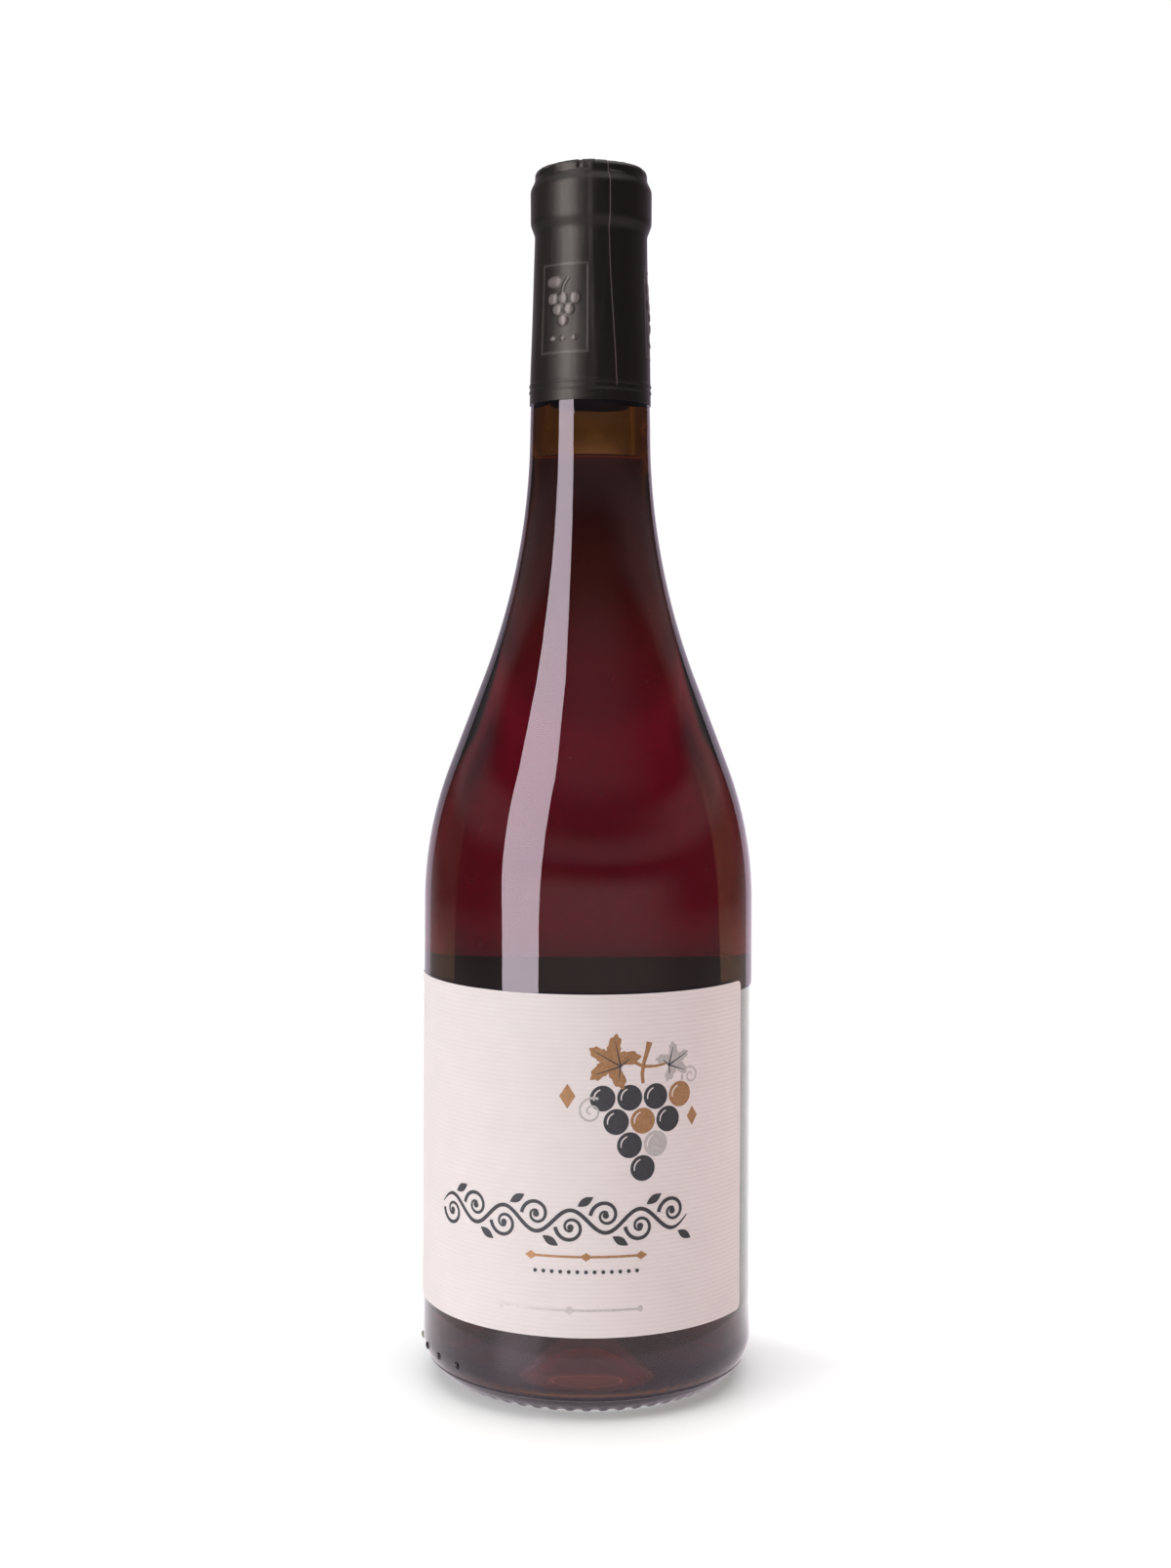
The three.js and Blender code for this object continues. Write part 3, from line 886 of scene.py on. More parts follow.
def turned_by(angle, start):
    """The angle from start, kept between minus and plus half a turn."""
    return (angle - start + math.pi) % (2 * math.pi) - math.pi


def bump(distance, half_width):
    """A soft ridge that is 1 at distance 0."""
    return np.exp(-((distance / half_width) ** 2))


def dome(u, v, centre, radius):
    """A round dome of height 1 on a circle of the given radius."""
    away = ((u - centre[0]) ** 2 + (v - centre[1]) ** 2) / radius**2
    return np.sqrt(np.clip(1 - away, 0, 1))


def panel_relief(u, v):
    """The stamped panel: a line frame, a bunch of grapes with stalk and leaf, and three lozenges."""
    edge = np.maximum(np.abs(u) - PANEL_HALF_WIDTH, np.abs(v) - PANEL_HALF_HEIGHT)
    relief = FRAME_PROUD * bump(edge, FRAME_HALF)
    for centre in BERRIES:
        relief = np.maximum(relief, BERRY_PROUD * dome(u, v, centre, BERRY_RADIUS))
    stalk = bump(u - 0.14 * (v - 4) ** 2 + 0.1, 0.3) * (v > 3.6) * (v < 7.2)
    leaf = dome(u / 1.5, v, (-1.9, 6.6), 1.5)
    relief = np.maximum(relief, np.maximum(STALK_PROUD * stalk, LEAF_PROUD * leaf))
    for middle in LOZENGE_MIDDLES:
        lozenge = 1 - (np.abs(u - middle) + np.abs(v - LOZENGE_V) / 0.7)
        relief = np.maximum(relief, LOZENGE_PROUD * np.clip(3 * lozenge, 0, 1))
    return relief


def all_panels(z, angle):
    """The relief of the panels at all their places round the film."""
    v = z - PANEL_MIDDLE
    return sum(panel_relief(turned_by(angle, turn) * PANEL_RADIUS, v) for turn in PANEL_TURNS)


def film_relief(z, angle, column):
    """How far the film stands out at a height and angle. The column's own angle finds the seam."""
    from_seam = turned_by(column, SEAM)
    upper = smooth_step(from_seam, OVERLAP_FROM, OVERLAP_TO) * (from_seam < 0)
    relief = SEAM_STEP * upper * smooth_step(z, *SEAM_STARTS) + all_panels(z, angle)
    for rib in RIB_HEIGHTS:
        relief = relief + RIB_PROUD * bump(z - rib, RIB_HALF)
    slack = 0.05 * np.sin(2 * angle + z / 7) + 0.035 * np.sin(5 * angle - z / 4.5 + 1)
    folds = sum(np.sin(k * angle + 1.7 * k) / 5 for k in FOLD_COUNTS)
    folds = FOLD_PROUD * folds * smooth_step(z, *FOLD_ENDS)
    lap = PLEAT_LOW + PLEAT_RISE * smooth_step(angle, math.radians(-66), math.radians(-8))
    near_lap = smooth_step(angle, math.radians(-75), math.radians(-60)) * (angle < math.radians(4))
    pleat = PLEAT_PROUD * bump(z - lap, PLEAT_HALF) * near_lap
    crease = CREASE_DEPTH * bump(turned_by(angle, CREASE), CREASE_HALF) * smooth_step(z, *CREASE_ENDS)
    return relief + slack + folds + pleat - crease


print("panel", 2 * PANEL_HALF_WIDTH, "x", 2 * PANEL_HALF_HEIGHT, "mm, three times round")

# %% [markdown]
# The top is a separate disc under the turned-in edge of the sleeve, with a ring where it was
# sealed and two pinholes that let the air out. Its rows run in to the pole.

# %% Shape the capsule
DISC_RING_RADIUS = 10.4
SLEEVE_END, SLEEVE_FADE = 12.4, 1.5  # where the sleeve ends on the top, and how far it fades inwards
GROOVE_DEPTH, GROOVE_HALF = 0.22, 0.35
RIM_OFFSET, RIM_PROUD, RIM_HALF = 0.9, 0.1, 0.5
PINHOLE_AT, PINHOLE_RADIUS, PINHOLE_DEPTH = 6.0, 0.45, 0.35
TOP_RELIEF = 0.2  # the top's highest wrinkle, which the whole top is lowered by


def top_relief(radius, angle):
    """The disc's sealed ring, its slack and its two pinholes."""
    from_ring = radius - DISC_RING_RADIUS
    groove = GROOVE_DEPTH * bump(from_ring, GROOVE_HALF)
    rim = RIM_PROUD * bump(from_ring - RIM_OFFSET, RIM_HALF)
    slack = 0.05 * np.sin(3 * angle + radius) * smooth_step(radius, 1, 8)
    x, y = radius * np.sin(angle), radius * np.cos(angle)
    holes = bump(np.hypot(np.abs(x) - PINHOLE_AT, y), PINHOLE_RADIUS)
    return rim - groove + slack - PINHOLE_DEPTH * holes


def capsule_grid():
    """Rows of radius, height and angle, the columns, the cut edge and how stamped each point is."""
    columns = np.linspace(0, 2 * math.pi, CAPSULE_COLUMNS, endpoint=False) - math.pi
    beside_seam = SEAM + np.radians([-0.2, 0.2])
    columns = np.sort(np.concatenate([columns[np.abs(columns - SEAM) > 0.006], beside_seam]))[None, :]
    wall_z = even(CAPSULE_RIM, CROWN, 0.33)
    wall_r = capsule_radius(wall_z)
    lip_r = LIP_RADIUS - LIP_ROUNDING * (1 - np.cos(lip_turn[1:]))
    lip_z = CROWN + LIP_ROUNDING * np.sin(lip_turn[1:])
    top_r = even(lip_r[-1] - 0.5, 0.6, 0.5)
    base_r = np.concatenate([wall_r, lip_r, top_r])[:, None]
    base_z = np.concatenate([wall_z, lip_z, np.full(len(top_r), CAPSULE_TOP)])[:, None]
    lean = np.concatenate([0 * wall_z, lip_turn[1:], np.full(len(top_r), math.pi / 2)])[:, None]
    drift = np.radians(np.interp(base_z, SEAM_HEIGHTS, SEAM_DEGREES)) - SEAM
    on_top = np.clip((SLEEVE_END - base_r) / SLEEVE_FADE, 0, 1) * (base_z > CROWN)
    angle = columns + drift * bump(columns - SEAM, math.radians(25)) * (1 - on_top)
    sleeve = film_relief(base_z, angle, columns) * (1 - on_top)
    relief = sleeve + top_relief(base_r, angle) * on_top
    outer_r = base_r + relief * np.cos(lean)
    outer_z = base_z + (np.minimum(relief, TOP_RELIEF) - TOP_RELIEF) * np.sin(lean)
    seam_line = bump(turned_by(columns, SEAM), math.radians(0.5)) * smooth_step(base_z, 244.2, 245)
    stamped = np.clip(all_panels(base_z, angle) / FULLY_STAMPED, 0, 1) * (1 - on_top)
    return outer_r, outer_z, angle, columns, seam_line, stamped


outer_r, outer_z, outer_angle, capsule_columns, seam_line, stamped = capsule_grid()
inner_z = even(CROWN, CAPSULE_RIM, 3.0)[:, None]
inner_r = capsule_radius(inner_z[:, 0])[:, None] - FILM + 0 * capsule_columns
flat = np.zeros((1, capsule_columns.size))
under_disc = CAPSULE_TOP - 2 * FILM
top_middle = flat + CAPSULE_TOP - TOP_RELIEF
disc_r = np.vstack([flat, flat + LIP_RADIUS - LIP_ROUNDING])
capsule_r = np.vstack([disc_r, inner_r, outer_r, flat])
capsule_z = np.vstack([disc_r * 0 + under_disc, inner_z + 0 * inner_r, outer_z, top_middle])
inside_angle = np.vstack([disc_r * 0, inner_r * 0]) + capsule_columns
capsule_angle = np.vstack([inside_angle, outer_angle, capsule_columns])
capsule_mesh = turned_mesh("capsule_film", capsule_r, capsule_z, capsule_angle)
print(measured(capsule_mesh))

# %% [markdown]
# The film is drawn PVC, dyed black through and through, with a satin skin. Close up it has faint
# streaks down its length from the drawing and a fine pebbling from the heat. Along the step where
# the upper layer ends, the film's colour is paler in a thin line, and the hot stamp left the panel's
# figures smoother and a little silvery. Both are stored on the mesh as a value for each point,
# because only the shaping code knows where they lie. A trace of dust lightens the film's sides.

# %% Make the shrink film
STREAK_WIDTH, STREAK_LENGTH = 0.9, 14.0
PEBBLE = 0.7


def store(mesh, name, values, first_row, rows):
    """Keep a value for each point of some rows of a turned mesh."""
    grid = np.zeros((rows, values.shape[1]))
    grid[first_row : first_row + len(values)] = values
    points = mesh.attributes.new(name, "FLOAT", "POINT")
    points.data.foreach_set("value", np.append(grid[1:-1].ravel(), [0.0, 0.0]))


outer_from = len(disc_r) + len(inner_r)
store(capsule_mesh, "cut_edge", seam_line, outer_from, len(capsule_r))
store(capsule_mesh, "stamped", stamped, outer_from, len(capsule_r))


def shrink_film():
    """Black PVC shrink film with a satin skin."""
    made, tree, shader = material("black_pvc_shrink_film")
    place = add(tree, "TexCoord").outputs["Object"]
    stretch = (1 / (STREAK_WIDTH * MM), 1 / (STREAK_WIDTH * MM), 1 / (STREAK_LENGTH * MM))
    along = add(tree, "Mapping", {}, {"Vector": place, "Scale": stretch}).outputs[0]
    streaks = add(tree, "TexNoise", {}, {"Vector": along, "Scale": 1.0, "Detail": 3.0}).outputs[0]
    fine = {"Vector": place, "Scale": 1 / (PEBBLE * MM), "Detail": 2.0}
    pebbles = add(tree, "TexNoise", {}, fine).outputs[0]
    edge = add(tree, "Attribute", {"attribute_name": "cut_edge"}).outputs["Fac"]
    stamp = add(tree, "Attribute", {"attribute_name": "stamped"}).outputs["Fac"]
    mixed = {"data_type": "RGBA"}
    dyed = add(tree, "Mix", mixed, {"Factor": streaks, 6: linear("#0a0808"), 7: linear("#100d0d")}).outputs[2]
    silvery = add(tree, "Mix", mixed, {"Factor": stamp, 6: dyed, 7: linear("#6e6664")}).outputs[2]
    colour = add(tree, "Mix", mixed, {"Factor": edge, 6: silvery, 7: linear("#6a605f")}).outputs[2]
    satin = add(tree, "MapRange", {}, {"Value": streaks, 1: 0.3, 2: 0.7, 3: 0.37, 4: 0.45}).outputs[0]
    rough = add(tree, "Mix", {}, {"Factor": stamp, "A": satin, "B": 0.3}).outputs[0]
    peel = add(tree, "Bump", {}, {"Strength": 0.25, "Distance": 0.00004, "Height": pebbles}).outputs[0]
    drawn = add(tree, "Bump", {}, {"Strength": 0.3, "Distance": 0.00005, "Height": streaks, "Normal": peel})
    sockets = {
        "Base Color": colour,
        "Roughness": rough,
        "IOR": 1.45,
        "Specular IOR Level": 0.36,
        "Specular Tint": linear("#fff3ef"),
        "Sheen Weight": 0.08,
        "Sheen Roughness": 0.4,
        "Sheen Tint": linear("#d8b8ac"),
        "Normal": drawn.outputs[0],
    }
    wire(tree, shader, sockets)
    return made


capsule = shown(capsule_mesh, shrink_film())
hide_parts("capsule")
print("capsule piece:", capsule.name)

# %% [markdown]
# ## The paper labels
#
# A wet-glue label is a sheet of uncoated paper with rounded corners. It is laid on the body and
# wiped down flat, so it has no air under it: each sheet here reaches just into the glass. The front
# one sits a little to the left, because nobody turned the bottle square to the camera. The back one
# was not seen from outside, only as a dark band with a straight top through the wine.

# %% Shape the labels
LABEL_CORNER = 1.5
PAPER_INNER, PAPER_OUTER = BODY_RADIUS - 0.02, BODY_RADIUS + 0.25
FRONT_WIDTH, FRONT_TURN = 108.5, math.radians(-11.5)
BACK_WIDTH, BACK_TURN = 76, math.radians(180)


def on_body(u, v, radius, turn):
    """The place of a label's point: u to the right of its middle, v above its lower edge."""
    angle = turn + u / PAPER_OUTER
    return np.stack([radius * np.sin(angle), -radius * np.cos(angle), LABEL_BOTTOM + v], axis=-1)


def label_sheet(name, width, turn):
    """A closed sheet of paper with rounded corners, bent round the body."""
    round_off = LABEL_CORNER * np.sin(np.linspace(0, math.pi / 2, 7))[1:]
    half = width / 2 - LABEL_CORNER
    u = np.concatenate([-half - round_off[::-1], even(-half, half, 1.0), half + round_off])
    past = np.clip(np.abs(u) - half, 0, LABEL_CORNER)
    inset = LABEL_CORNER - np.sqrt(LABEL_CORNER**2 - past**2)
    share = np.linspace(0, 1, 9)[:, None]
    v = inset + share * (LABEL_HEIGHT - 2 * inset)
    rows, columns = v.shape
    front = on_body(u + 0 * v, v, PAPER_OUTER, turn).reshape(-1, 3)
    back = on_body(u + 0 * v, v, PAPER_INNER, turn).reshape(-1, 3)
    index = np.arange(rows * columns).reshape(rows, columns)
    corners = [index[:-1, :-1], index[:-1, 1:], index[1:, 1:], index[1:, :-1]]
    quads = np.stack(corners, axis=-1).reshape(-1, 4)
    rim = np.concatenate([index[0, :-1], index[:-1, -1], index[-1, :0:-1], index[:0:-1, 0]])
    ahead = np.roll(rim, -1)
    under = rows * columns
    faces = quads.tolist() + (quads[:, ::-1] + under).tolist()
    faces += np.stack([rim + under, ahead + under, ahead, rim], axis=-1).tolist()
    mesh = bpy.data.meshes.new(name)
    mesh.from_pydata((np.vstack([front, back]) * MM).tolist(), [], faces)
    mesh.validate()
    return mesh


print(f"the front label covers {math.degrees(FRONT_WIDTH / PAPER_OUTER):.0f} degrees of the body")

# %% [markdown]
# Laid paper is made on a wire mesh and keeps its mark: fine level lines about a millimetre apart,
# and fibres that lie every way. It has no coating, so it is fully matt. The lines are a wave of the
# height above the table, and fibres are noise stretched along one direction, added twice.

# %% Make the paper
LAID_SPACING = 1.05
WAVE_PITCH = 0.314  # the length after which Blender's wave texture repeats at scale 1
FIBRE_WIDTH, FIBRE_LENGTH = 0.12, 1.6
CLOUD_SIZE = 9.0


def laid_paper():
    """Uncoated off-white laid paper."""
    made, tree, shader = material("uncoated_laid_paper")
    place = add(tree, "TexCoord").outputs["Object"]
    level_bands = {"wave_type": "BANDS", "bands_direction": "Z", "wave_profile": "SIN"}
    pitch = {"Vector": place, "Scale": WAVE_PITCH / (LAID_SPACING * MM), "Distortion": 0.6, "Detail": 2.0}
    laid = add(tree, "TexWave", level_bands, pitch).outputs["Fac"]
    lengths = (FIBRE_LENGTH, FIBRE_LENGTH, FIBRE_WIDTH), (FIBRE_WIDTH, FIBRE_WIDTH, FIBRE_LENGTH)
    fibres = []
    for size in lengths:
        scale = tuple(1 / (s * MM) for s in size)
        laid_out = add(tree, "Mapping", {}, {"Vector": place, "Scale": scale, "Rotation": (0.2, 0.1, 0.3)})
        noise = {"Vector": laid_out.outputs[0], "Scale": 1.0, "Detail": 2.0}
        fibres.append(add(tree, "TexNoise", {}, noise).outputs[0])
    matted = add(tree, "Math", {"operation": "ADD"}, {0: fibres[0], 1: fibres[1]}).outputs[0]
    clouds = {"Vector": place, "Scale": 1 / (CLOUD_SIZE * MM), "Detail": 4.0}
    cloud = add(tree, "TexNoise", {}, clouds).outputs[0]
    whites = {"Factor": cloud, 6: linear("#efe5e4"), 7: linear("#e7dddc")}
    tone = add(tree, "Mix", {"data_type": "RGBA"}, whites)
    shade = add(tree, "MapRange", {}, {"Value": laid, 1: 0.0, 2: 1.0, 3: 0.965, 4: 1.0}).outputs[0]
    lined = add(tree, "Mix", {"data_type": "RGBA", "blend_type": "MULTIPLY"}, {"Factor": 1.0})
    wire(tree, lined, {6: tone.outputs[2], 7: shade})
    lines = add(tree, "Bump", {}, {"Strength": 0.5, "Distance": 0.00006, "Height": laid}).outputs[0]
    felt = add(tree, "Bump", {}, {"Strength": 0.5, "Distance": 0.00004, "Height": matted, "Normal": lines})
    sockets = {
        "Base Color": lined.outputs[2],
        "Roughness": 0.88,
        "Specular IOR Level": 0.3,
        "Normal": felt.outputs[0],
    }
    wire(tree, shader, sockets)
    return made


paper = laid_paper()
front_label = shown(label_sheet("front_label_paper", FRONT_WIDTH, FRONT_TURN), paper)
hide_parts("front_label")
back_label = shown(label_sheet("back_label_paper", BACK_WIDTH, BACK_TURN), paper)
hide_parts("back_label")
for sheet in (front_label, back_label):
    print(measured(sheet.data))

# %% [markdown]
# ## The print
#
# The label carries a design of its own: a bunch of grapes with leaves and tendrils, a vine scroll,
# and a few plain rules. It has no words. Each ink is a real layer, as in letterpress: the shapes
# are drawn flat in millimetres, cut into narrow strips, given the ink's thickness, and bent round
# the body. Drawing them as shapes keeps every edge sharp however near the camera comes.

# %% Shapes to draw with
INK_LOW, INK_HIGH = -0.03, 0.03
SHAPE_LIFT = 0.002  # each next shape of one ink lies this much higher, so that no two faces coincide
STRIP = 1.5
SHINE_FROM, SHINE_TO = math.radians(105), math.radians(195)
SHINE_REACH, SHINE_THICKNESS = 0.74, 0.12  # as shares of a berry's radius


def filled(outline, *holes):
    """A filled outline with holes, as points and triangles."""
    loops = [[Vector((x, y, 0)) for x, y in loop] for loop in (outline, *holes)]
    points = [point for loop in loops for point in loop]
    return points, tessellate_polygon(loops)


def stroke(path, widths):
    """A line of changing width along a path, as points and quads."""
    path = np.asarray(path, float)
    ahead = np.gradient(path, axis=0)
    side = np.stack([-ahead[:, 1], ahead[:, 0]], axis=-1)
    side *= (np.asarray(widths) / 2 / np.linalg.norm(side, axis=1))[:, None]
    points = [Vector((x, y, 0)) for x, y in np.vstack([path + side, path - side])]
    count = len(path)
    return points, [(i, i + 1, count + i + 1, count + i) for i in range(count - 1)]


def ring_points(centre, radius, count=32, squash=1.0):
    """Points on a circle or, with a squash, on an ellipse."""
    turns = np.linspace(0, 2 * math.pi, count, endpoint=False)
    return [(centre[0] + radius * math.cos(t), centre[1] + radius * squash * math.sin(t)) for t in turns]


def lozenge(u, v, half_width, half_height):
    """A filled diamond."""
    return filled([(u - half_width, v), (u, v - half_height), (u + half_width, v), (u, v + half_height)])


def spiral(centre, radius, start, turns, end_radius=0.5):
    """A path that winds inwards. A negative number of turns winds clockwise."""
    share = np.linspace(0, 1, 44)
    reach = radius + (end_radius - radius) * share**0.8
    angle = start + 2 * math.pi * turns * share
    return np.stack([centre[0] + reach * np.cos(angle), centre[1] + reach * np.sin(angle)], axis=-1)


def leaf_outline(centre, size, lean):
    """A vine leaf with five lobes and a toothed edge."""
    turns = np.linspace(-math.pi, math.pi, 121)[:-1]
    lobes = 0.74 + 0.26 * np.cos(5 * turns) + 0.05 * np.cos(25 * turns)
    notch = 1 - 0.55 * np.exp(-(((np.abs(turns) - math.pi) / 0.22) ** 2))
    reach = size * lobes * notch * (1 - 0.12 * np.cos(turns))
    spokes = zip(reach, turns + lean)
    return [(centre[0] + r * math.cos(t), centre[1] + r * math.sin(t)) for r, t in spokes]


def leaf_veins(centre, size, lean):
    """Five thin veins that start at the leaf's stalk."""
    base = (centre[0] - 0.42 * size * math.cos(lean), centre[1] - 0.42 * size * math.sin(lean))
    veins = []
    for side in (-2, -1, 0, 1, 2):
        angle = lean + side * 2 * math.pi / 5
        tip = (centre[0] + 0.72 * size * math.cos(angle), centre[1] + 0.72 * size * math.sin(angle))
        path = np.linspace(base, tip, 8)
        veins.append(stroke(path, np.linspace(0.34, 0.12, 8)))
    return veins


def berry(centre, radius):
    """A grape: a disc with a crescent of bare paper where it would shine."""
    turns = np.linspace(SHINE_FROM, SHINE_TO, 14)
    reach = SHINE_REACH * radius
    outer = [(centre[0] + reach * math.cos(t), centre[1] + reach * math.sin(t)) for t in turns]
    middle = (SHINE_FROM + SHINE_TO) / 2
    shift = np.array([math.cos(middle), math.sin(middle)]) * -SHINE_THICKNESS * radius
    inner = [(x + shift[0], y + shift[1]) for x, y in outer[1:-1]]
    return filled(ring_points(centre, radius), outer + inner[::-1])


def printed(name, shapes, ink, turn, lift=0.0):
    """One layer of ink: all shapes cut into strips, given a thickness and bent round the body."""
    form = bmesh.new()
    for number, (points, faces) in enumerate(shapes):
        high = INK_HIGH + lift + SHAPE_LIFT * number
        verts = [form.verts.new((point[0], point[1], high)) for point in points]
        for face in faces:
            form.faces.new([verts[i] for i in face])
    reach = [vert.co.x for vert in form.verts]
    for cut in np.arange(math.ceil(min(reach)), max(reach), STRIP):
        whole = form.verts[:] + form.edges[:] + form.faces[:]
        bmesh.ops.bisect_plane(form, geom=whole, plane_co=(cut, 0, 0), plane_no=(1, 0, 0), dist=1e-5)
    copied = bmesh.ops.extrude_face_region(form, geom=form.faces[:], use_keep_orig=True)["geom"]
    for part in copied:
        if isinstance(part, bmesh.types.BMVert):
            part.co.z = INK_LOW
    bmesh.ops.recalc_face_normals(form, faces=form.faces[:])
    for vert in form.verts:
        vert.co = Vector(on_body(vert.co.x, vert.co.y, PAPER_OUTER + vert.co.z, turn)) * MM
    mesh = bpy.data.meshes.new(name)
    form.to_mesh(mesh)
    form.free()
    shown(mesh, ink)
    print(name, len(shapes), "shapes,", len(mesh.polygons), "faces")


print("ink thickness above the paper:", INK_HIGH)

# %% [markdown]
# Three inks: a soft black, a bronze and a silver-grey. Letterpress ink sinks into uncoated paper,
# so it is nearly matt and a little mottled where fibres took more or less. The bronze and the
# silver carry metal powder and so have a dull gleam.

# %% Make the inks
MOTTLE_SIZE = 0.714  # millimetres


def letterpress_ink(name, light, dark, gleam, rough):
    """An ink on uncoated paper, mottled by the fibres under it."""
    made, tree, shader = material(name)
    place = add(tree, "TexCoord").outputs["Object"]
    patches = {"Vector": place, "Scale": 1 / (MOTTLE_SIZE * MM), "Detail": 4.0}
    mottle = add(tree, "TexNoise", {}, patches).outputs[0]
    spread = add(tree, "MapRange", {}, {"Value": mottle, 1: 0.35, 2: 0.65, 3: 0.0, 4: 1.0}).outputs[0]
    tone = add(tree, "Mix", {"data_type": "RGBA"}, {"Factor": spread, 6: linear(light), 7: linear(dark)})
    relief = add(tree, "Bump", {}, {"Strength": 0.4, "Distance": 0.00003, "Height": mottle}).outputs[0]
    sockets = {"Base Color": tone.outputs[2], "Metallic": gleam, "Roughness": rough, "Normal": relief}
    wire(tree, shader, sockets)
    return made


charcoal = letterpress_ink("charcoal_letterpress_ink", "#37353c", "#2d2b31", 0.0, 0.7)
bronze = letterpress_ink("bronze_powder_ink", "#aa7e5a", "#996e48", 0.35, 0.5)
silver = letterpress_ink("silver_powder_ink", "#c4bcbb", "#b2aaaa", 0.35, 0.5)
print("inks:", charcoal.name, bronze.name, silver.name)

# %% [markdown]
# The front design is drawn on the flat sheet. Each place is a distance to the right of the sheet's
# middle and a height above its lower edge. The bunch stands at the upper right, the scroll runs
# across under it, and below are rules with lozenges and a row of dots.

# %% Draw the front design
BUNCH_RADIUS = 3.0
BUNCH = [
    (11.7, 55.5), (18.1, 55.5), (24.5, 55.5), (30.9, 55.5),
    (14.9, 50.0), (21.3, 50.0), (27.7, 50.0),
    (18.1, 44.5), (24.5, 44.5),
    (21.3, 39.0),
]
BRONZE_BERRIES, SILVER_BERRIES = (3, 5), (8,)
LEAF, LEAF_SIZE, LEAF_LEAN = (13.6, 64.2), 6.4, math.radians(150)
SMALL_LEAF, SMALL_LEAF_SIZE, SMALL_LEAF_LEAN = (29.6, 63.4), 4.6, math.radians(28)
# Middle, radius, starting angle, turns and stroke of each tendril.
TENDRILS = [
    ((9.0, 52.5), 3.4, math.radians(60), 1.6, 0.6),
    ((34.0, 59.5), 2.6, math.radians(200), -1.5, 0.55),
]
TENDRIL_TIP = 0.3
SCROLL_FROM, SCROLL_TO, SCROLL_V = -32.5, 33.0, 27.0
SCROLL_WAVES, SCROLL_RISE, SCROLL_STROKE = 4, 2.6, 0.9
CURL_OFFSET, CURL_TURNS, CURL_END = 1.4, 1.35, 0.7
BUD_RADIUS = 0.75
LEAFLET_RISE, LEAFLET_HALF_LENGTH, LEAFLET_HALF_WIDTH = 4.6, 2.2, 0.95
RULE_V, RULE_FROM, RULE_TO, RULE_STROKE = 18.8, -5.0, 21.0, 0.55
DOTS_V, DOTS_COUNT, DOTS_FROM, DOTS_TO, DOTS_RADIUS = 15.3, 13, -4.0, 20.0, 0.45
FOOT_RULE_V, FOOT_RULE_FROM, FOOT_RULE_TO, FOOT_RULE_STROKE = 6.4, -12.5, 20.8, 0.5
FOOT_DOT_RADIUS = 0.7
# Middle, half width and half height of the two lozenges beside the bunch.
LOZENGES = [(3.5, 56.0, 1.9, 2.9), (34.5, 50.0, 1.5, 2.3)]
RULE_LOZENGE, FOOT_LOZENGE = (1.5, 1.0), (1.6, 0.95)


def vine_scroll():
    """A waving stem with a curl and a small leaf in each bend."""
    u = np.linspace(SCROLL_FROM, SCROLL_TO, 160)
    wave_number = 2 * math.pi * SCROLL_WAVES / (SCROLL_TO - SCROLL_FROM)
    v = SCROLL_V + SCROLL_RISE * np.sin(wave_number * (u - SCROLL_FROM))
    taper = np.minimum(1, 0.25 + np.minimum(u - u[0], u[-1] - u) / 6)
    shapes = [stroke(np.stack([u, v], axis=-1), SCROLL_STROKE * taper)]
    half_wave = math.pi / wave_number
    for bend in range(2 * SCROLL_WAVES):
        up = 1 if bend % 2 == 0 else -1
        middle = SCROLL_FROM + half_wave * (bend + 0.5)
        bud = (middle, SCROLL_V - CURL_OFFSET * up)
        curl = spiral(bud, half_wave * 0.44, math.pi, CURL_TURNS * up, CURL_END)
        shapes.append(stroke(curl, np.linspace(SCROLL_STROKE, 0.5 * SCROLL_STROKE, len(curl))))
        shapes.append(filled(ring_points(bud, BUD_RADIUS, 20)))
        tip = (middle + 0.42 * half_wave, SCROLL_V + LEAFLET_RISE * up)
        lean = np.array([0.85, 0.5 * up])
        side = np.array([-lean[1], lean[0]])
        half = LEAFLET_HALF_LENGTH
        widths = LEAFLET_HALF_WIDTH * np.sin(math.pi * np.linspace(0, 1, 14))
        leaf = list(zip(np.linspace(-half, half, 14), widths))
        outline = [tuple(tip + lean * s + side * w) for s, w in leaf]
        outline += [tuple(tip + lean * s - side * w) for s, w in leaf[-2:0:-1]]
        shapes.append(filled(outline))
    return shapes


def rule(v, start, end, thickness):
    """A straight level line."""
    low, high = v - thickness / 2, v + thickness / 2
    return filled([(start, low), (end, low), (end, high), (start, high)])


berries = [berry(centre, BUNCH_RADIUS) for centre in BUNCH]
dark_berries = [b for i, b in enumerate(berries) if i not in BRONZE_BERRIES + SILVER_BERRIES]
dots_u = np.linspace(DOTS_FROM, DOTS_TO, DOTS_COUNT)
dots = [filled(ring_points((u, DOTS_V), DOTS_RADIUS, 16)) for u in dots_u]
printed("front_print_charcoal", dark_berries + vine_scroll() + dots, charcoal, FRONT_TURN)

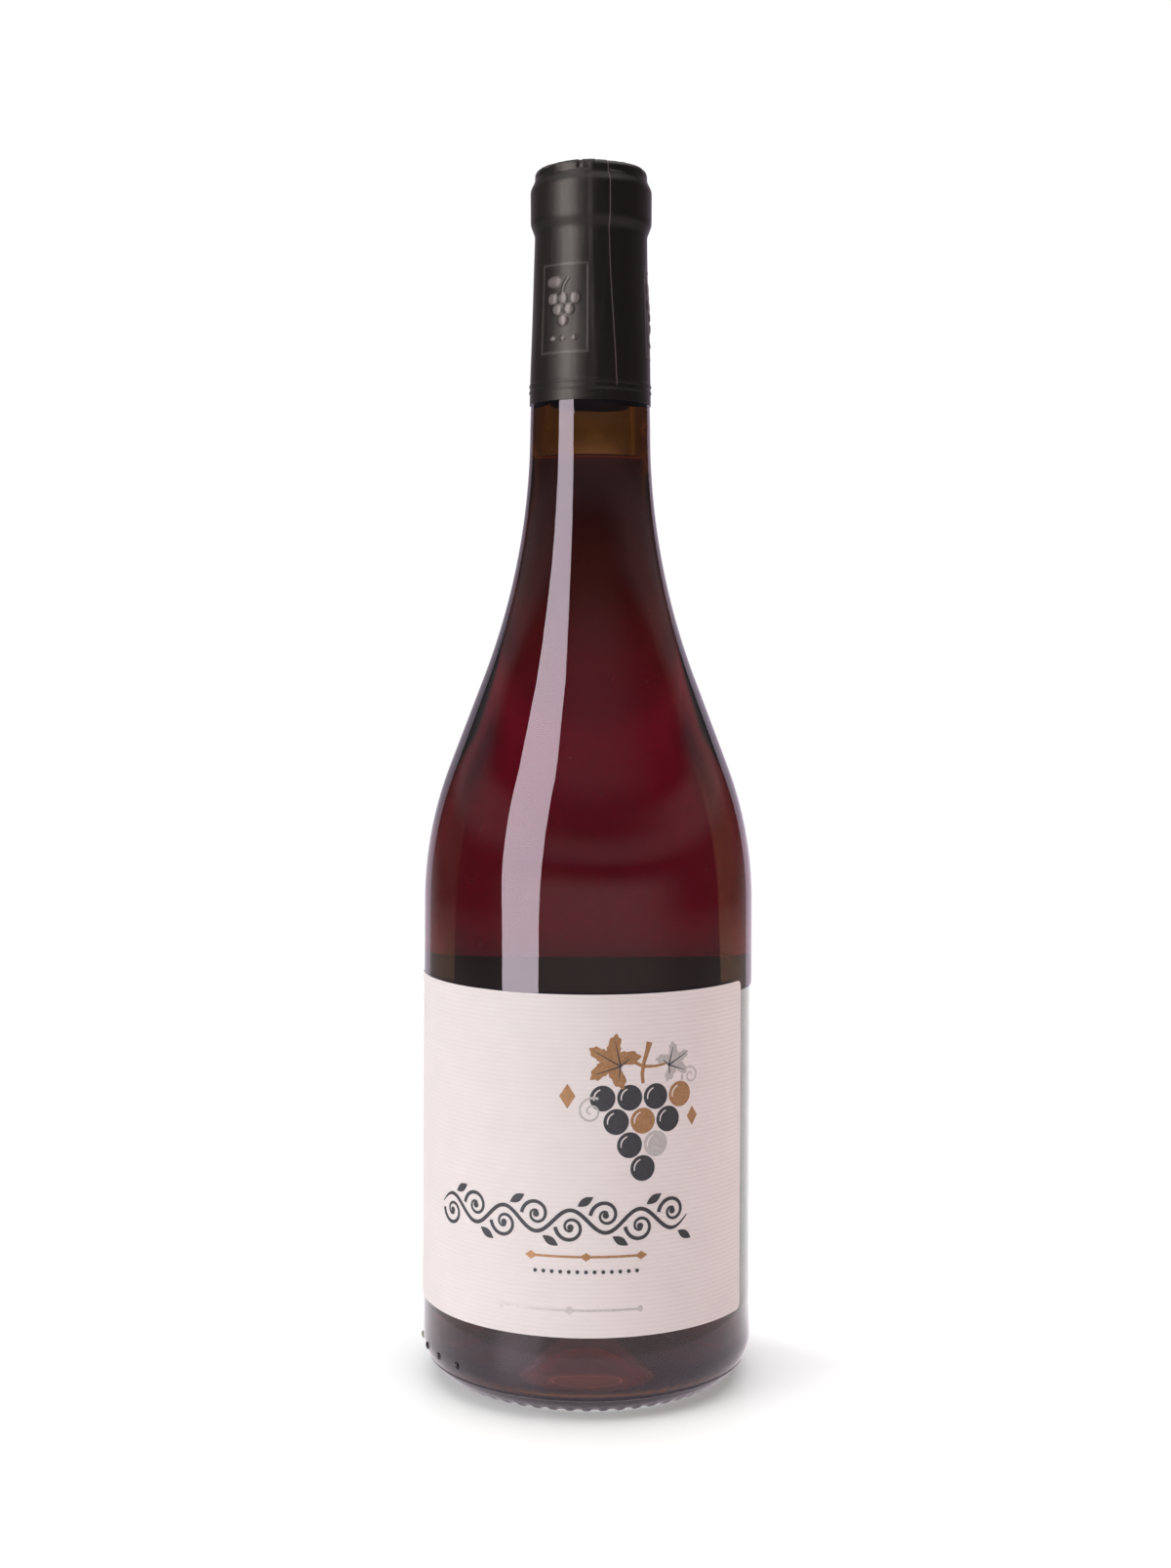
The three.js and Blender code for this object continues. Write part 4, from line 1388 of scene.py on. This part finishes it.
stalk_path = [(21.3, 58.7), (21.1, 61.0), (21.5, 63.5), (22.3, 66.0), (22.9, 68.2)]
stalk = stroke(stalk_path, [0.8, 0.85, 0.9, 1.1, 1.5])
cross_path = [(16.6, 65.2), (18.8, 63.9), (21.4, 62.6), (24.4, 62.5), (27.0, 62.9)]
cross = stroke(cross_path, [0.5, 0.7, 0.8, 0.6, 0.45])
bronze_leaf = filled(leaf_outline(LEAF, LEAF_SIZE, LEAF_LEAN))
bronze_shapes = [berries[i] for i in BRONZE_BERRIES] + [bronze_leaf, stalk, cross]
bronze_shapes += [lozenge(*place) for place in LOZENGES]
bronze_shapes.append(rule(RULE_V, RULE_FROM, RULE_TO, RULE_STROKE))
for u in (RULE_FROM, (RULE_FROM + RULE_TO) / 2, RULE_TO):
    bronze_shapes.append(lozenge(u, RULE_V, *RULE_LOZENGE))
printed("front_print_bronze", bronze_shapes, bronze, FRONT_TURN)

silver_shapes = [berries[i] for i in SILVER_BERRIES]
silver_shapes.append(filled(leaf_outline(SMALL_LEAF, SMALL_LEAF_SIZE, SMALL_LEAF_LEAN)))
for *curl, width in TENDRILS:
    tendril = spiral(*curl)
    silver_shapes.append(stroke(tendril, np.linspace(width, TENDRIL_TIP, len(tendril))))
silver_shapes.append(rule(FOOT_RULE_V, FOOT_RULE_FROM, FOOT_RULE_TO, FOOT_RULE_STROKE))
silver_shapes.append(lozenge((FOOT_RULE_FROM + FOOT_RULE_TO) / 2, FOOT_RULE_V, *FOOT_LOZENGE))
for u in (FOOT_RULE_FROM, FOOT_RULE_TO):
    silver_shapes.append(filled(ring_points((u, FOOT_RULE_V), FOOT_DOT_RADIUS, 18)))
printed("front_print_silver", silver_shapes, silver, FRONT_TURN)

veins = leaf_veins(LEAF, LEAF_SIZE, LEAF_LEAN) + leaf_veins(SMALL_LEAF, SMALL_LEAF_SIZE, SMALL_LEAF_LEAN)
printed("front_print_veins", veins, charcoal, FRONT_TURN, lift=0.04)

# %% [markdown]
# The back label is plainer: a small bunch, a waving rule, and five thin rules under it.

# %% Draw the back design
BACK_SCALE = 0.62  # of the front bunch
BACK_BUNCH_FOOT = 49.0
BACK_REACH = 26
BACK_WAVE_V, BACK_WAVE_RISE = 40, 1.1
BACK_RULES = (31, 26.5, 22, 17.5, 13)

foot_u, foot_v = BUNCH[-1]
back_places = [(BACK_SCALE * (u - foot_u), BACK_SCALE * (v - foot_v) + BACK_BUNCH_FOOT) for u, v in BUNCH]
back_charcoal = [berry(centre, BACK_SCALE * BUNCH_RADIUS) for centre in back_places]
back_charcoal += [rule(v, -BACK_REACH, BACK_REACH, 0.35) for v in BACK_RULES]
printed("back_print_charcoal", back_charcoal, charcoal, BACK_TURN)

wave_u = np.linspace(-BACK_REACH, BACK_REACH, 120)
wave_path = np.stack([wave_u, BACK_WAVE_V + BACK_WAVE_RISE * np.sin(wave_u * 0.6)], axis=-1)
back_wave = stroke(wave_path, np.full(len(wave_u), 0.7))
back_leaf = filled(leaf_outline((-4.6, 64.6), 3.8, math.radians(150)))
back_stalk = stroke([(0, 61), (0.1, 63), (0.8, 66)], [0.5, 0.55, 0.9])
printed("back_print_bronze", [back_wave, back_leaf, back_stalk], bronze, BACK_TURN)

# %% [markdown]
# ## Print the sizes
#
# The dressed bottle is meant to keep the CAD bottle's size. Both boxes are printed, axis by axis.

# %% Print the two boxes
visual_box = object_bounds()
boxes = {
    "cad": [[float(c) for c in corner] for corner in cad_box],
    "visual": [[float(c) for c in corner] for corner in visual_box],
}
for side, (cad, visual) in enumerate(zip(np.array(boxes["cad"]).T, np.array(boxes["visual"]).T)):
    print("xyz"[side], "CAD", np.round(cad / MM, 2), "visual", np.round(visual / MM, 2))
